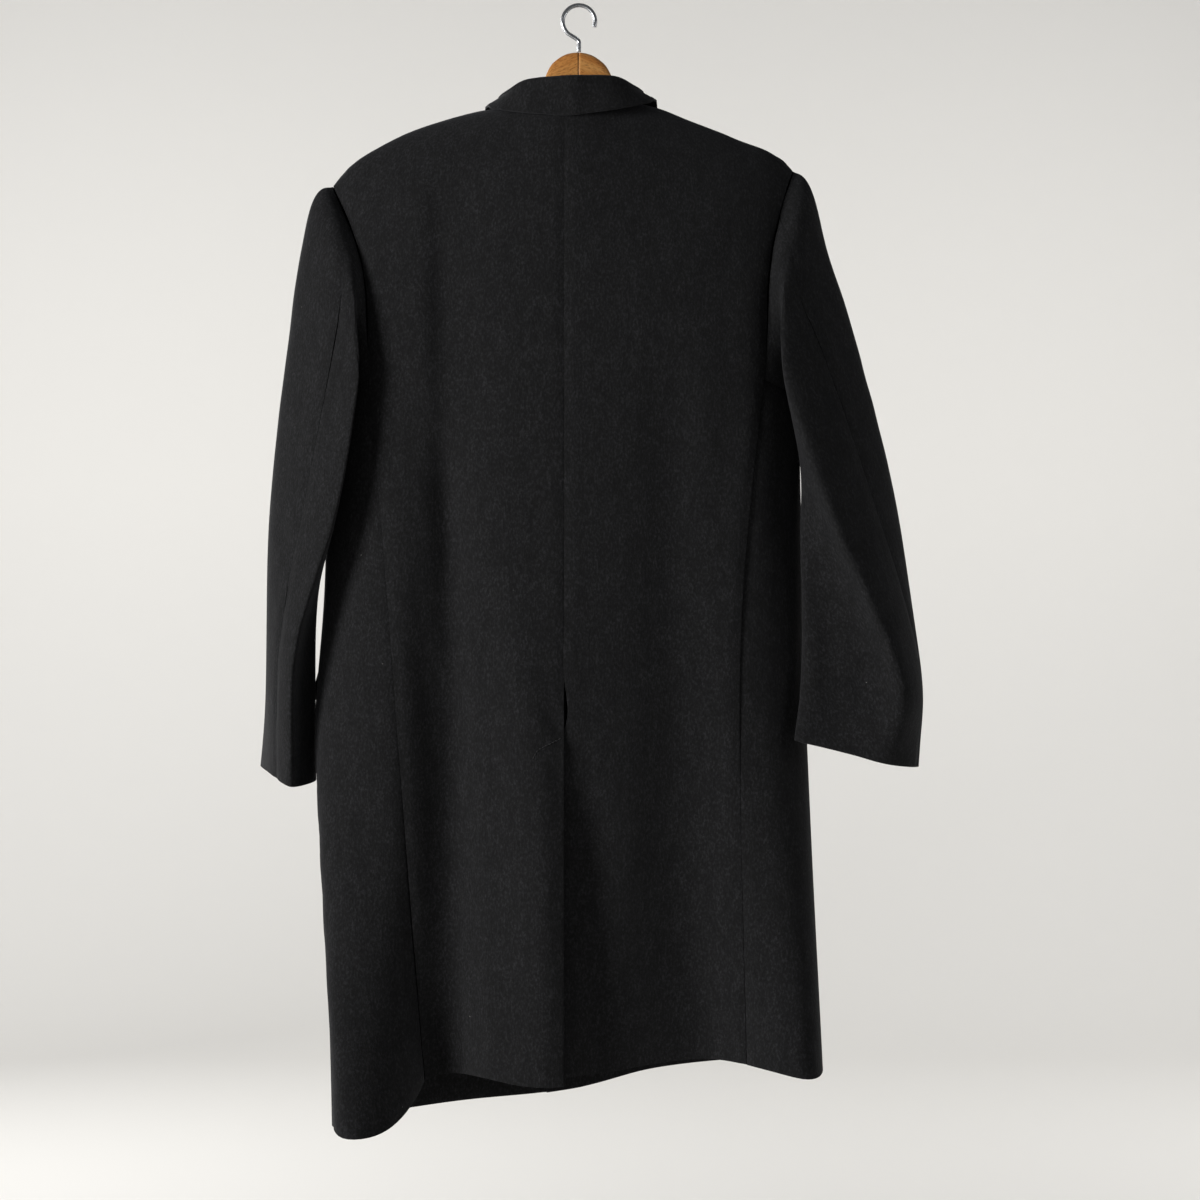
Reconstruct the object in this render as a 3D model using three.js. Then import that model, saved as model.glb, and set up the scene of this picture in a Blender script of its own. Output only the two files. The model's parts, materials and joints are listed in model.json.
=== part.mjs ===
// A man's knee-length single-breasted overcoat of black melton, hanging on a contoured wooden hanger.
// Millimetres, +Z up. The origin is where the hanger's hook rests on its rail. The wearer's left is +X
// and the back of the coat faces +Y. Cloth is a wall of even thickness whose outer face is worked out
// from tables of lines that run down the coat: seams, fold crests and fold troughs.
import * as THREE from 'three';

// ---------------------------------------------------------------- driving dimensions
const CLOTH = 2.6;              // melton with its seam allowances
const SEAM_GAP = 0.3;           // between two pieces that are sewn edge to edge
const LIE_GAP = 0.5;            // between a piece and the panel that it lies on
const COAT_X = 14.5;            // the coat has slid this far towards the wearer's left
const COAT_Y = -8;              // the shoulder seams lie in the plane of the hook
const NAPE_Z = -121;            // height of the centre-back neck seam
const UNDERARM_DROP = 282;      // all drops are measured down from the nape
const WAIST_DROP = 492;
const VENT_DROP = 653;
const BACK_LENGTH = 1012;       // nape to hem at the centre back
const FRONT_LAP = 22;           // how far each front edge passes the centre front
const BREAK_DROP = 335;         // where the lapel starts to roll, just above the top button

// ---------------------------------------------------------------- tables
// Lines down the body, one row each: place a round the half body (0 centre back, 1 side-back seam,
// 2 side-front seam, 3 centre front), then distance from the centre line and depth at four heights,
// and the drop of the hem.
const LINE_COLUMNS = [
  'a', 'underX', 'underY', 'waistX', 'waistY', 'seatX', 'seatY', 'hemX', 'hemY', 'hemDrop',
];
const CENTRE_BACK = [0, 0, 88, 0, 88, 0, 93, 0, 96, 1012];
const CENTRE_FRONT = [3, 0, -78, 0, -86, 0, -87, 0, -71, 1052];
const LEFT_LINES = [
  [0.28, 62, 87, 58, 89, 52, 97, 46, 101, 1011],      // crest beside the vent
  [0.50, 108, 83, 101, 83, 90, 88, 80, 91, 1007],
  [0.78, 160, 73, 150, 67, 137, 60, 121, 49, 1010],   // trough that deepens to the hem
  [1.00, 205, 60, 186, 68, 173, 70, 146, 48, 1017],   // side-back seam
  [1.30, 234, 40, 226, 50, 219, 66, 166, 88, 1046],
  [1.62, 250, 12, 255, 16, 258, 40, 200, 121, 1059],  // lobe of the hem at the side
  [1.85, 246, -14, 258, -14, 267, 10, 230, 122, 1057],
  [2.00, 232, -34, 251, -38, 263, -14, 238, 98, 1053], // side-front seam
  [2.20, 196, -54, 222, -62, 248, -48, 240, 50, 1060],
  [2.45, 140, -68, 165, -75, 190, -76, 220, -20, 1069],
  [2.72, 70, -76, 85, -83, 98, -84, 120, -62, 1063],
];
const RIGHT_LINES = [
  [0.25, 58, 86, 56, 84, 54, 84, 48, 58, 1006],       // hollow beside the vent
  [0.50, 108, 82, 104, 80, 98, 78, 96, 46, 1000],
  [0.78, 162, 73, 148, 75, 146, 74, 150, 42, 996],
  [1.00, 209, 58, 187, 68, 182, 70, 189, 62, 997],    // side-back seam
  [1.25, 234, 40, 222, 54, 222, 58, 226, 90, 1001],
  [1.50, 248, 16, 248, 24, 251, 30, 256, 92, 1006],   // crest of the hem at the side
  [1.75, 247, -8, 254, -10, 258, -6, 270, 56, 1004],
  [2.00, 232, -34, 246, -38, 253, -40, 268, 12, 1003], // side-front seam
  [2.20, 198, -54, 218, -62, 232, -66, 246, -30, 1008],
  [2.45, 142, -68, 162, -76, 175, -80, 190, -56, 1015],
  [2.72, 72, -76, 84, -84, 92, -88, 98, -68, 1028],
];

// Edges above the underarm: distance from the centre line at each drop.
const SIDES = {
  left: {
    sign: 1,
    neckPoint: { x: 76, y: 10, drop: -14 },
    shoulderX: [76, 105, 130, 158, 186, 210, 230, 249],
    shoulderDrop: [-14, -7.5, -0.5, 8.5, 20.5, 34, 47.5, 69],
    backArmDrop: [69, 90, 114, 154, 199, 240, 282],
    backArmX: [249, 239, 228, 214, 207, 206, 205],
    frontArmDrop: [69, 100, 140, 185, 225, 258, 282],
    frontArmX: [249, 228, 206, 194, 195, 210, 232],
  },
  right: {
    sign: -1,
    neckPoint: { x: 76, y: 10, drop: -20 },
    shoulderX: [76, 105, 130, 158, 186, 210, 230, 244],
    shoulderDrop: [-20, -12, -1.5, 9, 20, 30, 38, 53],
    backArmDrop: [53, 74, 105, 154, 209, 245, 282],
    backArmX: [244, 236, 227, 216, 212, 212, 209],
    frontArmDrop: [53, 88, 131, 180, 222, 256, 282],
    frontArmX: [244, 225, 206, 195, 195, 210, 232],
  },
};
const SHOULDER_SEAM_Y = 8;      // depth of the shoulder seam
const NAPE_Y = 60;
const NECK_BREADTH = 76;        // half the neck, where the shoulder seam starts
const CHEST_REACH = 252;        // half the chest, for the rounding of the upper body

// Sleeve sections below the armhole, a row each. Each has an outer, back, inner and front point:
// distance from the coat's centre line, depth and drop. dent is how far the back-inner face sinks.
const SLEEVE_COLUMNS = ['t', 'outX', 'outY', 'outDrop', 'backX', 'backY', 'backDrop',
  'inX', 'inY', 'inDrop', 'frontX', 'frontY', 'frontDrop', 'dent'];
const LEFT_SLEEVE = [
  [0.06, 268, 8, 82, 216, 70, 196, 257, 8, 300, 214, -68, 205, 0],
  [0.17, 283, 10, 144, 212, 84, 245, 258, 12, 334, 238, -80, 255, 0],
  [0.30, 293, 10, 214, 214, 86, 290, 261, 12, 372, 262, -84, 300, 0],
  [0.55, 315, 2, 405, 237, 82, 420, 265, 10, 470, 302, -84, 420, 4],
  [0.78, 321, -6, 560, 280, 62, 565, 269, -6, 570, 322, -96, 560, 12],
  [1.00, 320, -12, 698, 288, 40, 709, 270.5, -20, 705, 338, -92, 696, 3],
];
const RIGHT_SLEEVE = [
  [0.06, 262, 8, 72, 225, 68, 185, 254, 8, 300, 216, -66, 200, 0],
  [0.17, 280, 10, 140, 224, 84, 246, 255, 12, 334, 240, -76, 252, 0],
  [0.30, 304, 10, 214, 236, 88, 300, 253.5, 20, 372, 272, -76, 300, 4],
  [0.55, 352, 6, 405, 274, 94, 420, 249.5, 38, 462, 332, -60, 420, 20],
  [0.80, 378, 14, 590, 344, 94, 598, 247.5, 54, 598, 320, -12, 600, 26],
  [1.00, 374, 30, 688, 328, 80, 681, 239, 68, 658, 308, 22, 676, 8],
];
// Seams of the two-piece sleeve: place round the section (0 outer, 0.25 back, 0.5 inner, 0.75 front).
const SEAM_T = [0, 0.3, 0.55, 0.8, 1];
const SLEEVES = {
  left: { table: LEFT_SLEEVE, elbow: [0.15, 0.13, 0.115, 0.09], forearm: [0.68, 0.66, 0.64, 0.63] },
  right: { table: RIGHT_SLEEVE, elbow: [0.13, 0.10, 0.07, 0.06], forearm: [0.66, 0.58, 0.56, 0.56] },
};

// Collar sections from the centre back (s = 0) to its front end (s = 1): neck seam, fold and outer edge.
const COLLAR_COLUMNS = [
  's', 'seamX', 'seamY', 'seamDrop', 'foldX', 'foldY', 'foldDrop', 'edgeX', 'edgeY', 'edgeDrop',
];
const COLLAR = [
  [0.00, 0, 60, -1.5, 0, 61, -36, 0, 67, 7],
  [0.22, 40, 49, -6, 44, 49, -36.5, 46, 60, 1],
  [0.42, 66, 26.5, -15, 65, 29, -31, 80, 40, -10],
  [0.60, 75, 5, -19, 75.5, 6, -28, 91, 8, -24],
  [0.70, 71, -12, -13, 73, -12, -21, 95, -19, -8.5],
  [0.80, 62.2, -27, 1, 66.6, -30, -5, 103, -42, 20],
  [1.00, 51.6, -46, 42, 55.6, -50, 38, 108, -59, 62],
];

// ---------------------------------------------------------------- interpolation
// Smooth curve through knots, by cubic segments whose slopes come from the neighbouring knots.
function smooth(knots, values, t) {
  const last = knots.length - 1;
  let i = 0;
  while (i < last - 1 && t > knots[i + 1]) i += 1;
  const slope = (k) => {
    const lo = Math.max(k - 1, 0);
    const hi = Math.min(k + 1, last);
    return (values[hi] - values[lo]) / (knots[hi] - knots[lo]);
  };
  const h = knots[i + 1] - knots[i];
  const u = (t - knots[i]) / h;
  if (u < 0) return values[i] + slope(i) * (t - knots[i]);
  if (u > 1) return values[i + 1] + slope(i + 1) * (t - knots[i + 1]);
  const u2 = u * u;
  const u3 = u2 * u;
  return (2 * u3 - 3 * u2 + 1) * values[i] + (u3 - 2 * u2 + u) * h * slope(i)
    + (-2 * u3 + 3 * u2) * values[i + 1] + (u3 - u2) * h * slope(i + 1);
}
const lerp = (p, q, t) => p + (q - p) * t;
const ease = (t) => { const u = Math.min(Math.max(t, 0), 1); return u * u * (3 - 2 * u); };
const bezier = (p0, p1, p2, p3, t) => (1 - t) ** 3 * p0 + 3 * (1 - t) ** 2 * t * p1
  + 3 * (1 - t) * t * t * p2 + t ** 3 * p3;
const named = (columns, row) => Object.fromEntries(columns.map((name, i) => [name, row[i]]));

// ---------------------------------------------------------------- the body as one closed surface
// g runs round the body: 0 centre back, +3 centre front by the left side, -3 by the right side.
const BODY = [];
for (const row of [...RIGHT_LINES].reverse()) {
  const line = named(LINE_COLUMNS, row);
  BODY.push({ ...line, g: -line.a, side: -1 });
}
BODY.push({ ...named(LINE_COLUMNS, CENTRE_BACK), g: 0, side: 1 });
for (const row of LEFT_LINES) {
  const line = named(LINE_COLUMNS, row);
  BODY.push({ ...line, g: line.a, side: 1 });
}
BODY.push({ ...named(LINE_COLUMNS, CENTRE_FRONT), g: 3, side: 1 });
const ROUND = 6;                // one turn of g
const KNOTS = [];
const RING = [];
for (const turn of [-1, 0, 1]) {
  for (const line of BODY) {
    KNOTS.push(line.g + turn * ROUND);
    RING.push(line);
  }
}
const ringValue = (pick, g) => {
  let i = 0;
  while (KNOTS[i + 3] < g) i += 1;
  const lo = Math.max(i - 1, 0);
  return smooth(KNOTS.slice(lo, lo + 8), RING.slice(lo, lo + 8).map(pick), g);
};

const LEVELS = [0, (WAIST_DROP - UNDERARM_DROP) / (BACK_LENGTH - UNDERARM_DROP),
  (VENT_DROP - UNDERARM_DROP) / (BACK_LENGTH - UNDERARM_DROP), 1];

// Point of the skirt and waist: v = 0 at the underarm, 1 at the hem.
function skirt(g, v) {
  const x = (line) => line.side * smooth(LEVELS, [line.underX, line.waistX, line.seatX, line.hemX], v);
  const y = (line) => smooth(LEVELS, [line.underY, line.waistY, line.seatY, line.hemY], v);
  const hem = ringValue((line) => line.hemDrop, g);
  return { x: ringValue(x, g), y: ringValue(y, g), drop: UNDERARM_DROP + v * (hem - UNDERARM_DROP) };
}
const chest = (x) => Math.sqrt(Math.max(1 - Math.min(Math.abs(x) / CHEST_REACH, 0.97) ** 2.6, 0));

const shoulderLine = (side, x) => smooth(side.shoulderX, side.shoulderDrop, x);
const rollLine = (side, drop) => lerp(side.neckPoint.x, -FRONT_LAP,
  Math.min(Math.max((drop - side.neckPoint.drop) / (BREAK_DROP - side.neckPoint.drop), 0), 1));

// Upper back: b = 0 centre back, 1 armhole edge; w = 0 underarm, 1 shoulder or neck.
function upperBack(side, b, w) {
  const tip = side.shoulderX.at(-1);
  const base = skirt(side.sign * b, 0);
  const share = side.sign * base.x / side.backArmX.at(-1);
  const topX = Math.abs(share) * tip;
  const inNeck = Math.min(topX / NECK_BREADTH, 1);
  const neckDrop = lerp(0, side.neckPoint.drop, inNeck ** 2.4);
  const topDrop = topX < NECK_BREADTH ? neckDrop : shoulderLine(side, topX);
  const neckline = (1 - inNeck ** 2) ** 0.75;
  const below = (1 - Math.min(topX / 110, 1) ** 2) ** 1.6;
  const topY = lerp(SHOULDER_SEAM_Y, NAPE_Y, lerp(below, neckline, w ** 5));
  const roll = lerp(0.62, 0.72, ease((topX - 30) / 90));
  const rise = bezier(0, 0.5, lerp(0.86, 1, ease(topX / 120)), 1, w);
  const keep = bezier(1, 1.03, roll, 0, w);
  const drop = lerp(UNDERARM_DROP, topDrop, rise);
  const x = share * smooth(side.backArmDrop, side.backArmX, Math.max(drop, side.backArmDrop[0]));
  const y = topY + (base.y + CENTRE_BACK[2] * (chest(x) - chest(base.x)) - topY) * keep;
  return { x: side.sign * x, y: y + SEAM_GAP / 2, drop };
}

// Front: c = 0 armhole edge or side-front seam, 1 roll line or front edge.
const EDGE_SCALE = [70, 85, 98, 115].map((x) => x / 0.28);   // breadth of one unit of g at the centre front
const edgeG = (side, v) => {
  const drop = UNDERARM_DROP + v * (CENTRE_FRONT[9] - UNDERARM_DROP);
  return 3 - rollLine(side, drop) / smooth(LEVELS, EDGE_SCALE, v);
};
const lowerFront = (side, c, v) => skirt(side.sign * lerp(2, edgeG(side, v), c), v);

function upperFront(side, c, w) {
  const base = lowerFront(side, c, 0);
  const baseX = side.sign * base.x;
  const armBase = side.frontArmX.at(-1);
  const share = (armBase - baseX) / (armBase - rollLine(side, UNDERARM_DROP));
  const topDrop = shoulderLine(side, lerp(side.shoulderX.at(-1), NECK_BREADTH, share));
  const rise = bezier(0, 0.5, 1, 1, w);
  const keep = bezier(1, 1.05, 0.72, 0, w);
  const drop = lerp(UNDERARM_DROP, topDrop, rise);
  const armX = smooth(side.frontArmDrop, side.frontArmX, Math.max(drop, side.frontArmDrop[0]));
  const x = lerp(armX, rollLine(side, drop), share);
  const chestY = base.y + CENTRE_FRONT[2] * (chest(x) - chest(baseX));
  const y = SHOULDER_SEAM_Y + (chestY - SHOULDER_SEAM_Y) * keep;
  return { x: side.sign * x, y: y - SEAM_GAP / 2, drop };
}

const place = (p) => new THREE.Vector3(COAT_X + p.x, COAT_Y + p.y, NAPE_Z - p.drop);

// ---------------------------------------------------------------- walls
// A wall through a grid of outer points, CLOTH thick, with its rim closed.
function wall(name, material, rows, columns, pointAt, options = {}) {
  const thick = options.thick ?? CLOTH;
  const out = [];
  const inner = [];
  const at = (i, j) => pointAt(j / columns, i / rows);
  const step = 0.004;
  const facing = options.facing ?? 1;
  for (let i = 0; i <= rows; i += 1) {
    for (let j = 0; j <= columns; j += 1) {
      const across = pointAt(j / columns + step, i / rows).sub(pointAt(j / columns - step, i / rows));
      const along = pointAt(j / columns, i / rows + step).sub(pointAt(j / columns, i / rows - step));
      const normal = across.cross(along).normalize().multiplyScalar(facing);
      if (options.normal) options.normal(normal, j / columns, i / rows);
      const p = at(i, j);
      out.push(p);
      inner.push(p.clone().addScaledVector(normal, -thick));
    }
  }
  const index = [];
  const quad = (p, q, r, s) => index.push(p, q, r, p, r, s);
  const n = columns + 1;
  const offset = out.length;
  for (let i = 0; i < rows; i += 1) {
    for (let j = 0; j < columns; j += 1) {
      const k = i * n + j;
      quad(k, k + 1, k + n + 1, k + n);
      quad(offset + k, offset + k + n, offset + k + n + 1, offset + k + 1);
    }
  }
  for (let j = 0; j < columns; j += 1) {
    quad(j, offset + j, offset + j + 1, j + 1);
    const k = rows * n + j;
    quad(k, k + 1, offset + k + 1, offset + k);
  }
  for (let i = 0; i < rows; i += 1) {
    const k = i * n;
    quad(k, k + n, offset + k + n, offset + k);
    const m = k + columns;
    quad(m, offset + m, offset + m + n, m + n);
  }
  return solid(name, material, [...out, ...inner], index);
}

// A closed mesh with its faces pointing out.
function solid(name, material, points, index) {
  let volume = 0;
  for (let i = 0; i < index.length; i += 3) {
    const [p, q, r] = [points[index[i]], points[index[i + 1]], points[index[i + 2]]];
    volume += p.dot(q.clone().cross(r));
  }
  const faces = volume < 0 ? index.map((_, i) => index[i - (i % 3) + [0, 2, 1][i % 3]]) : index;
  const geometry = new THREE.BufferGeometry();
  geometry.setAttribute('position', new THREE.Float32BufferAttribute(points.flatMap((p) => p.toArray()), 3));
  geometry.setIndex(faces);
  geometry.computeVertexNormals();
  const mesh = new THREE.Mesh(geometry, material);
  mesh.name = name;
  return mesh;
}

const melton = new THREE.MeshStandardMaterial({ color: 0x1b1b1c, roughness: 0.95, metalness: 0 });
const wood = new THREE.MeshStandardMaterial({ color: 0xaa6e38, roughness: 0.45, metalness: 0 });
const steel = new THREE.MeshStandardMaterial({ color: 0xb9bcc0, roughness: 0.3, metalness: 1 });
const horn = new THREE.MeshStandardMaterial({ color: 0x151312, roughness: 0.35, metalness: 0 });

const coat = new THREE.Group();

// ---------------------------------------------------------------- panels of the body
const PANEL_ROWS = 21;
const UPPER_ROWS = 7;           // rows of a long panel that lie above the underarm
const SIDE_COLUMNS = 5;
const UPPER_SHARE = UPPER_ROWS / PANEL_ROWS;
const trim = (s, length) => lerp(SEAM_GAP / 2 / length, 1 - SEAM_GAP / 2 / length, s);
const UNDERARM_SCOOP = 0.02;    // how much lower the side panel's top lies in the middle, as a share
const VENT_LAP = 0.2;           // share of the back that the underlap reaches past the centre

const UNDERLAP = CLOTH + 0.8;     // how far a piece is set back where another laps over it
const VENT_OPENING = 12;        // how much further the underlap falls back below the vent's top

// The right back lies lower than the left beside the vent, and reaches under it below the vent's top.
function ventRecess(b, drop) {
  const depth = UNDERLAP * ease((drop - VENT_DROP + 45) / 42) + VENT_OPENING * ease((drop - VENT_DROP) / 150);
  return depth * (1 - ease(b / 0.3));
}

function backPoint(side, s, t) {
  const v = (t - UPPER_SHARE) / (1 - UPPER_SHARE);
  let b = trim(s, 200);
  if (v < 0) return upperBack(side, b, 1 - t / UPPER_SHARE);
  const drop = UNDERARM_DROP + v * (BACK_LENGTH - UNDERARM_DROP);
  if (side.sign < 0) b = lerp(-VENT_LAP * ease((drop - VENT_DROP) / 40), 1, b);
  return skirt(side.sign * b, v);
}

// The right front lies under the left, and lower still where its lapel passes under as well.
const LAPEL_TUCK = 4.2;         // extra set-back between the drops where the lapels cross
const frontTuck = (x, drop) => (UNDERLAP + LAPEL_TUCK * ease((drop - 120) / 60) * ease((400 - drop) / 50))
  * ease((72 + x) / 36);

for (const [which, side] of Object.entries(SIDES)) {
  coat.add(wall(`back_${which}`, melton, PANEL_ROWS, 10, (s, t) => {
    const p = backPoint(side, s, t);
    if (side.sign < 0) {
      const b = lerp(-VENT_LAP * ease((p.drop - VENT_DROP) / 40), 1, s);
      const recess = ventRecess(b, p.drop);
      p.y -= recess;
      p.drop -= 0.35 * recess * ease((p.drop - VENT_DROP) / 300);
    }
    return place(p);
  }, { facing: side.sign, normal: (n, s, t) => { if (t === 0) n.setY(0).normalize(); } }));

  coat.add(wall(`side_${which}`, melton, 14, SIDE_COLUMNS, (s, t) => {
    const a = 1 + trim(s, 90);
    const top = UNDERARM_SCOOP * Math.sin(Math.PI * Math.min(Math.max(s, 0), 1));
    return place(skirt(side.sign * a, lerp(top, 1, t)));
  }, { facing: side.sign }));

  coat.add(wall(`front_${which}`, melton, PANEL_ROWS, 11, (s, t) => {
    const v = (t - UPPER_SHARE) / (1 - UPPER_SHARE);
    const c = lerp(SEAM_GAP / 2 / 240, 1, s);
    const p = v < 0 ? upperFront(side, c, 1 - t / UPPER_SHARE) : lowerFront(side, c, v);
    if (side.sign < 0) p.y += frontTuck(p.x, p.drop);
    return place(p);
  }, { facing: side.sign, normal: (n, s, t) => { if (t === 0) n.setY(0).normalize(); } }));
}

// ---------------------------------------------------------------- sleeves
const BACK_SHARE = 0.4;         // share of the armhole that the back, then the side panel, takes
const FRONT_SHARE = 0.6;

// Surface of the body beside the armhole, at place f round it; out moves past the armhole's edge.
function besideArmhole(side, f, out) {
  if (f < BACK_SHARE) return place(upperBack(side, 1 + out / 220, 1 - f / BACK_SHARE));
  if (f > FRONT_SHARE) return place(upperFront(side, -out / 240, (f - FRONT_SHARE) / (1 - FRONT_SHARE)));
  const k = (f - BACK_SHARE) / (FRONT_SHARE - BACK_SHARE);
  return place(skirt(side.sign * (1 + k), UNDERARM_SCOOP * Math.sin(Math.PI * k) - out / 760));
}
const armhole = (side, f) => besideArmhole(side, f, 2 * SEAM_GAP);

function armholeNormal(side, f) {
  const step = 0.01;
  const ahead = besideArmhole(side, Math.min(f + step, 1), 0);
  const around = ahead.sub(besideArmhole(side, Math.max(f - step, 0), 0));
  const outward = besideArmhole(side, f, 2).sub(besideArmhole(side, f, -2));
  return around.cross(outward).normalize().multiplyScalar(-side.sign);
}

function sleevePoint(side, table, f, t) {
  const around = f - Math.floor(f);
  const ring = (row) => {
    const knots = [-0.25, 0, 0.25, 0.5, 0.75, 1, 1.25];
    const pick = (axis) => smooth(knots, ['front', 'out', 'back', 'in', 'front', 'out', 'back']
      .map((name) => row[`${name}${axis}`]), around);
    return { x: side.sign * pick('X'), y: pick('Y'), drop: pick('Drop') };
  };
  const start = armhole(side, around);
  const rings = table.map((row) => place(ring(row)));
  const knots = [0, ...table.map((row) => row.t)];
  const at = (axis) => smooth(knots, [start, ...rings].map((p) => p[axis]), t);
  const point = new THREE.Vector3(at('x'), at('y'), at('z'));
  const dent = smooth(knots, [0, ...table.map((row) => row.dent)], t);
  const share = Math.max(0, Math.sin(Math.PI * Math.min(Math.max((around - 0.24) / 0.24, 0), 1))) ** 1.5;
  point.x -= side.sign * dent * share * -0.6;
  point.y -= dent * share * 0.8;
  return point;
}

// Columns of a sleeve piece, set so that its first row meets the corners of the panels round the armhole.
function columnPlaces(stretches) {
  const places = [0];
  for (const { columns, share } of stretches) {
    const from = places.at(-1);
    for (let i = 1; i <= columns; i += 1) places.push(from + share * i / columns);
  }
  return (s) => {
    const k = Math.min(Math.max(Math.floor(s * (places.length - 1)), 0), places.length - 2);
    return lerp(places[k], places[k + 1], s * (places.length - 1) - k);
  };
}
const ELBOW_ROW = 3;            // rows of the back above the elbow seam's start
const FOREARM_ROW = 2;          // rows of the front below the forearm seam's start
const BACK_STEP = BACK_SHARE / UPPER_ROWS;
const FRONT_STEP = (1 - FRONT_SHARE) / UPPER_ROWS;
const ELBOW_START = ELBOW_ROW * BACK_STEP;
const FOREARM_START = FRONT_SHARE + FOREARM_ROW * FRONT_STEP;
const UNDER_SPAN = FOREARM_START - ELBOW_START;
const TOP_SPAN = 1 - UNDER_SPAN;
const underPlaces = columnPlaces([
  { columns: UPPER_ROWS - ELBOW_ROW, share: (BACK_SHARE - ELBOW_START) / UNDER_SPAN },
  { columns: SIDE_COLUMNS, share: (FRONT_SHARE - BACK_SHARE) / UNDER_SPAN },
  { columns: FOREARM_ROW, share: (FOREARM_START - FRONT_SHARE) / UNDER_SPAN },
]);
const topPlaces = columnPlaces([
  { columns: UPPER_ROWS - FOREARM_ROW, share: (1 - FOREARM_START) / TOP_SPAN },
  { columns: ELBOW_ROW, share: ELBOW_START / TOP_SPAN },
]);

for (const [which, side] of Object.entries(SIDES)) {
  const table = SLEEVES[which].table.map((row) => named(SLEEVE_COLUMNS, row));
  const elbowAt = (t) => smooth(SEAM_T, [ELBOW_START, ...SLEEVES[which].elbow], t);
  const forearmAt = (t) => smooth(SEAM_T, [FOREARM_START, ...SLEEVES[which].forearm], t);
  const half = SEAM_GAP / 2 / 300;
  const down = (t) => Math.max(t, 0) ** 1.15;
  const piece = (name, columns, places, from, to) => {
    const across = (s, t) => lerp(from(down(t)) + half, to(down(t)) - half, places(s));
    coat.add(wall(name, melton, 16, columns, (s, t) => sleevePoint(side, table, across(s, t), down(t)), {
      facing: -side.sign,
      normal: (n, s, t) => {
        const f = across(s, t);
        if (t === 0) n.copy(armholeNormal(side, f - Math.floor(f)));
      },
    }));
  };
  const topColumns = UPPER_ROWS - FOREARM_ROW + ELBOW_ROW;
  const underColumns = UPPER_ROWS - ELBOW_ROW + SIDE_COLUMNS + FOREARM_ROW;
  piece(`sleeve_${which}_top`, topColumns, topPlaces, forearmAt, (t) => 1 + elbowAt(t));
  piece(`sleeve_${which}_under`, underColumns, underPlaces, elbowAt, forearmAt);
}

// ---------------------------------------------------------------- pieces that lie on the panels
// The outward direction of a surface at (s, t), by small steps.
function outward(surface, s, t, facing) {
  const step = 0.01;
  const across = surface(s + step, t).sub(surface(s - step, t));
  const along = surface(s, t + step).sub(surface(s, t - step));
  return across.cross(along).normalize().multiplyScalar(facing);
}

const frontSurface = (side) => (c, t) => {
  const v = (t - UPPER_SHARE) / (1 - UPPER_SHARE);
  const p = v < 0 ? upperFront(side, c, 1 - t / UPPER_SHARE) : lowerFront(side, c, v);
  if (side.sign < 0) p.y += frontTuck(p.x, p.drop);
  return place(p);
};

// Lapel: from the roll line out over the chest, between the gorge and the break.
const LAPEL_COLUMNS = ['r', 'breadth', 'roll'];   // place down the lapel, breadth, height off the chest
const LAPEL = [[0, 58, 2], [0.16, 74, 3], [0.3, 92, 4], [0.5, 76, 4], [0.75, 44, 1], [1, 8, 0.3]];
const LAPEL_TOP = { roll: 0.136, tip: 0.176 };    // place down the front at the roll line and at the notch
for (const [which, side] of Object.entries(SIDES)) {
  const rows = LAPEL.map((row) => named(LAPEL_COLUMNS, row));
  const at = (key, r) => smooth(rows.map((row) => row.r), rows.map((row) => row[key]), r);
  const belowUnderarm = (BREAK_DROP - UNDERARM_DROP) / (CENTRE_FRONT[9] - UNDERARM_DROP);
  const breakShare = UPPER_SHARE + (1 - UPPER_SHARE) * belowUnderarm;
  const surface = frontSurface(side);
  const lapel = (s, r) => {
    const t = lerp(lerp(LAPEL_TOP.roll, LAPEL_TOP.tip, s), breakShare, r);
    const c = 1 - s * at('breadth', r) / 235;
    const off = LIE_GAP + CLOTH + at('roll', r) * Math.sin(Math.PI * lerp(0.12, 0.85, s));
    return surface(c, t).addScaledVector(outward(surface, c, t, side.sign), off);
  };
  coat.add(wall(`lapel_${which}`, melton, 9, 5, lapel, { facing: -side.sign }));
}

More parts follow.
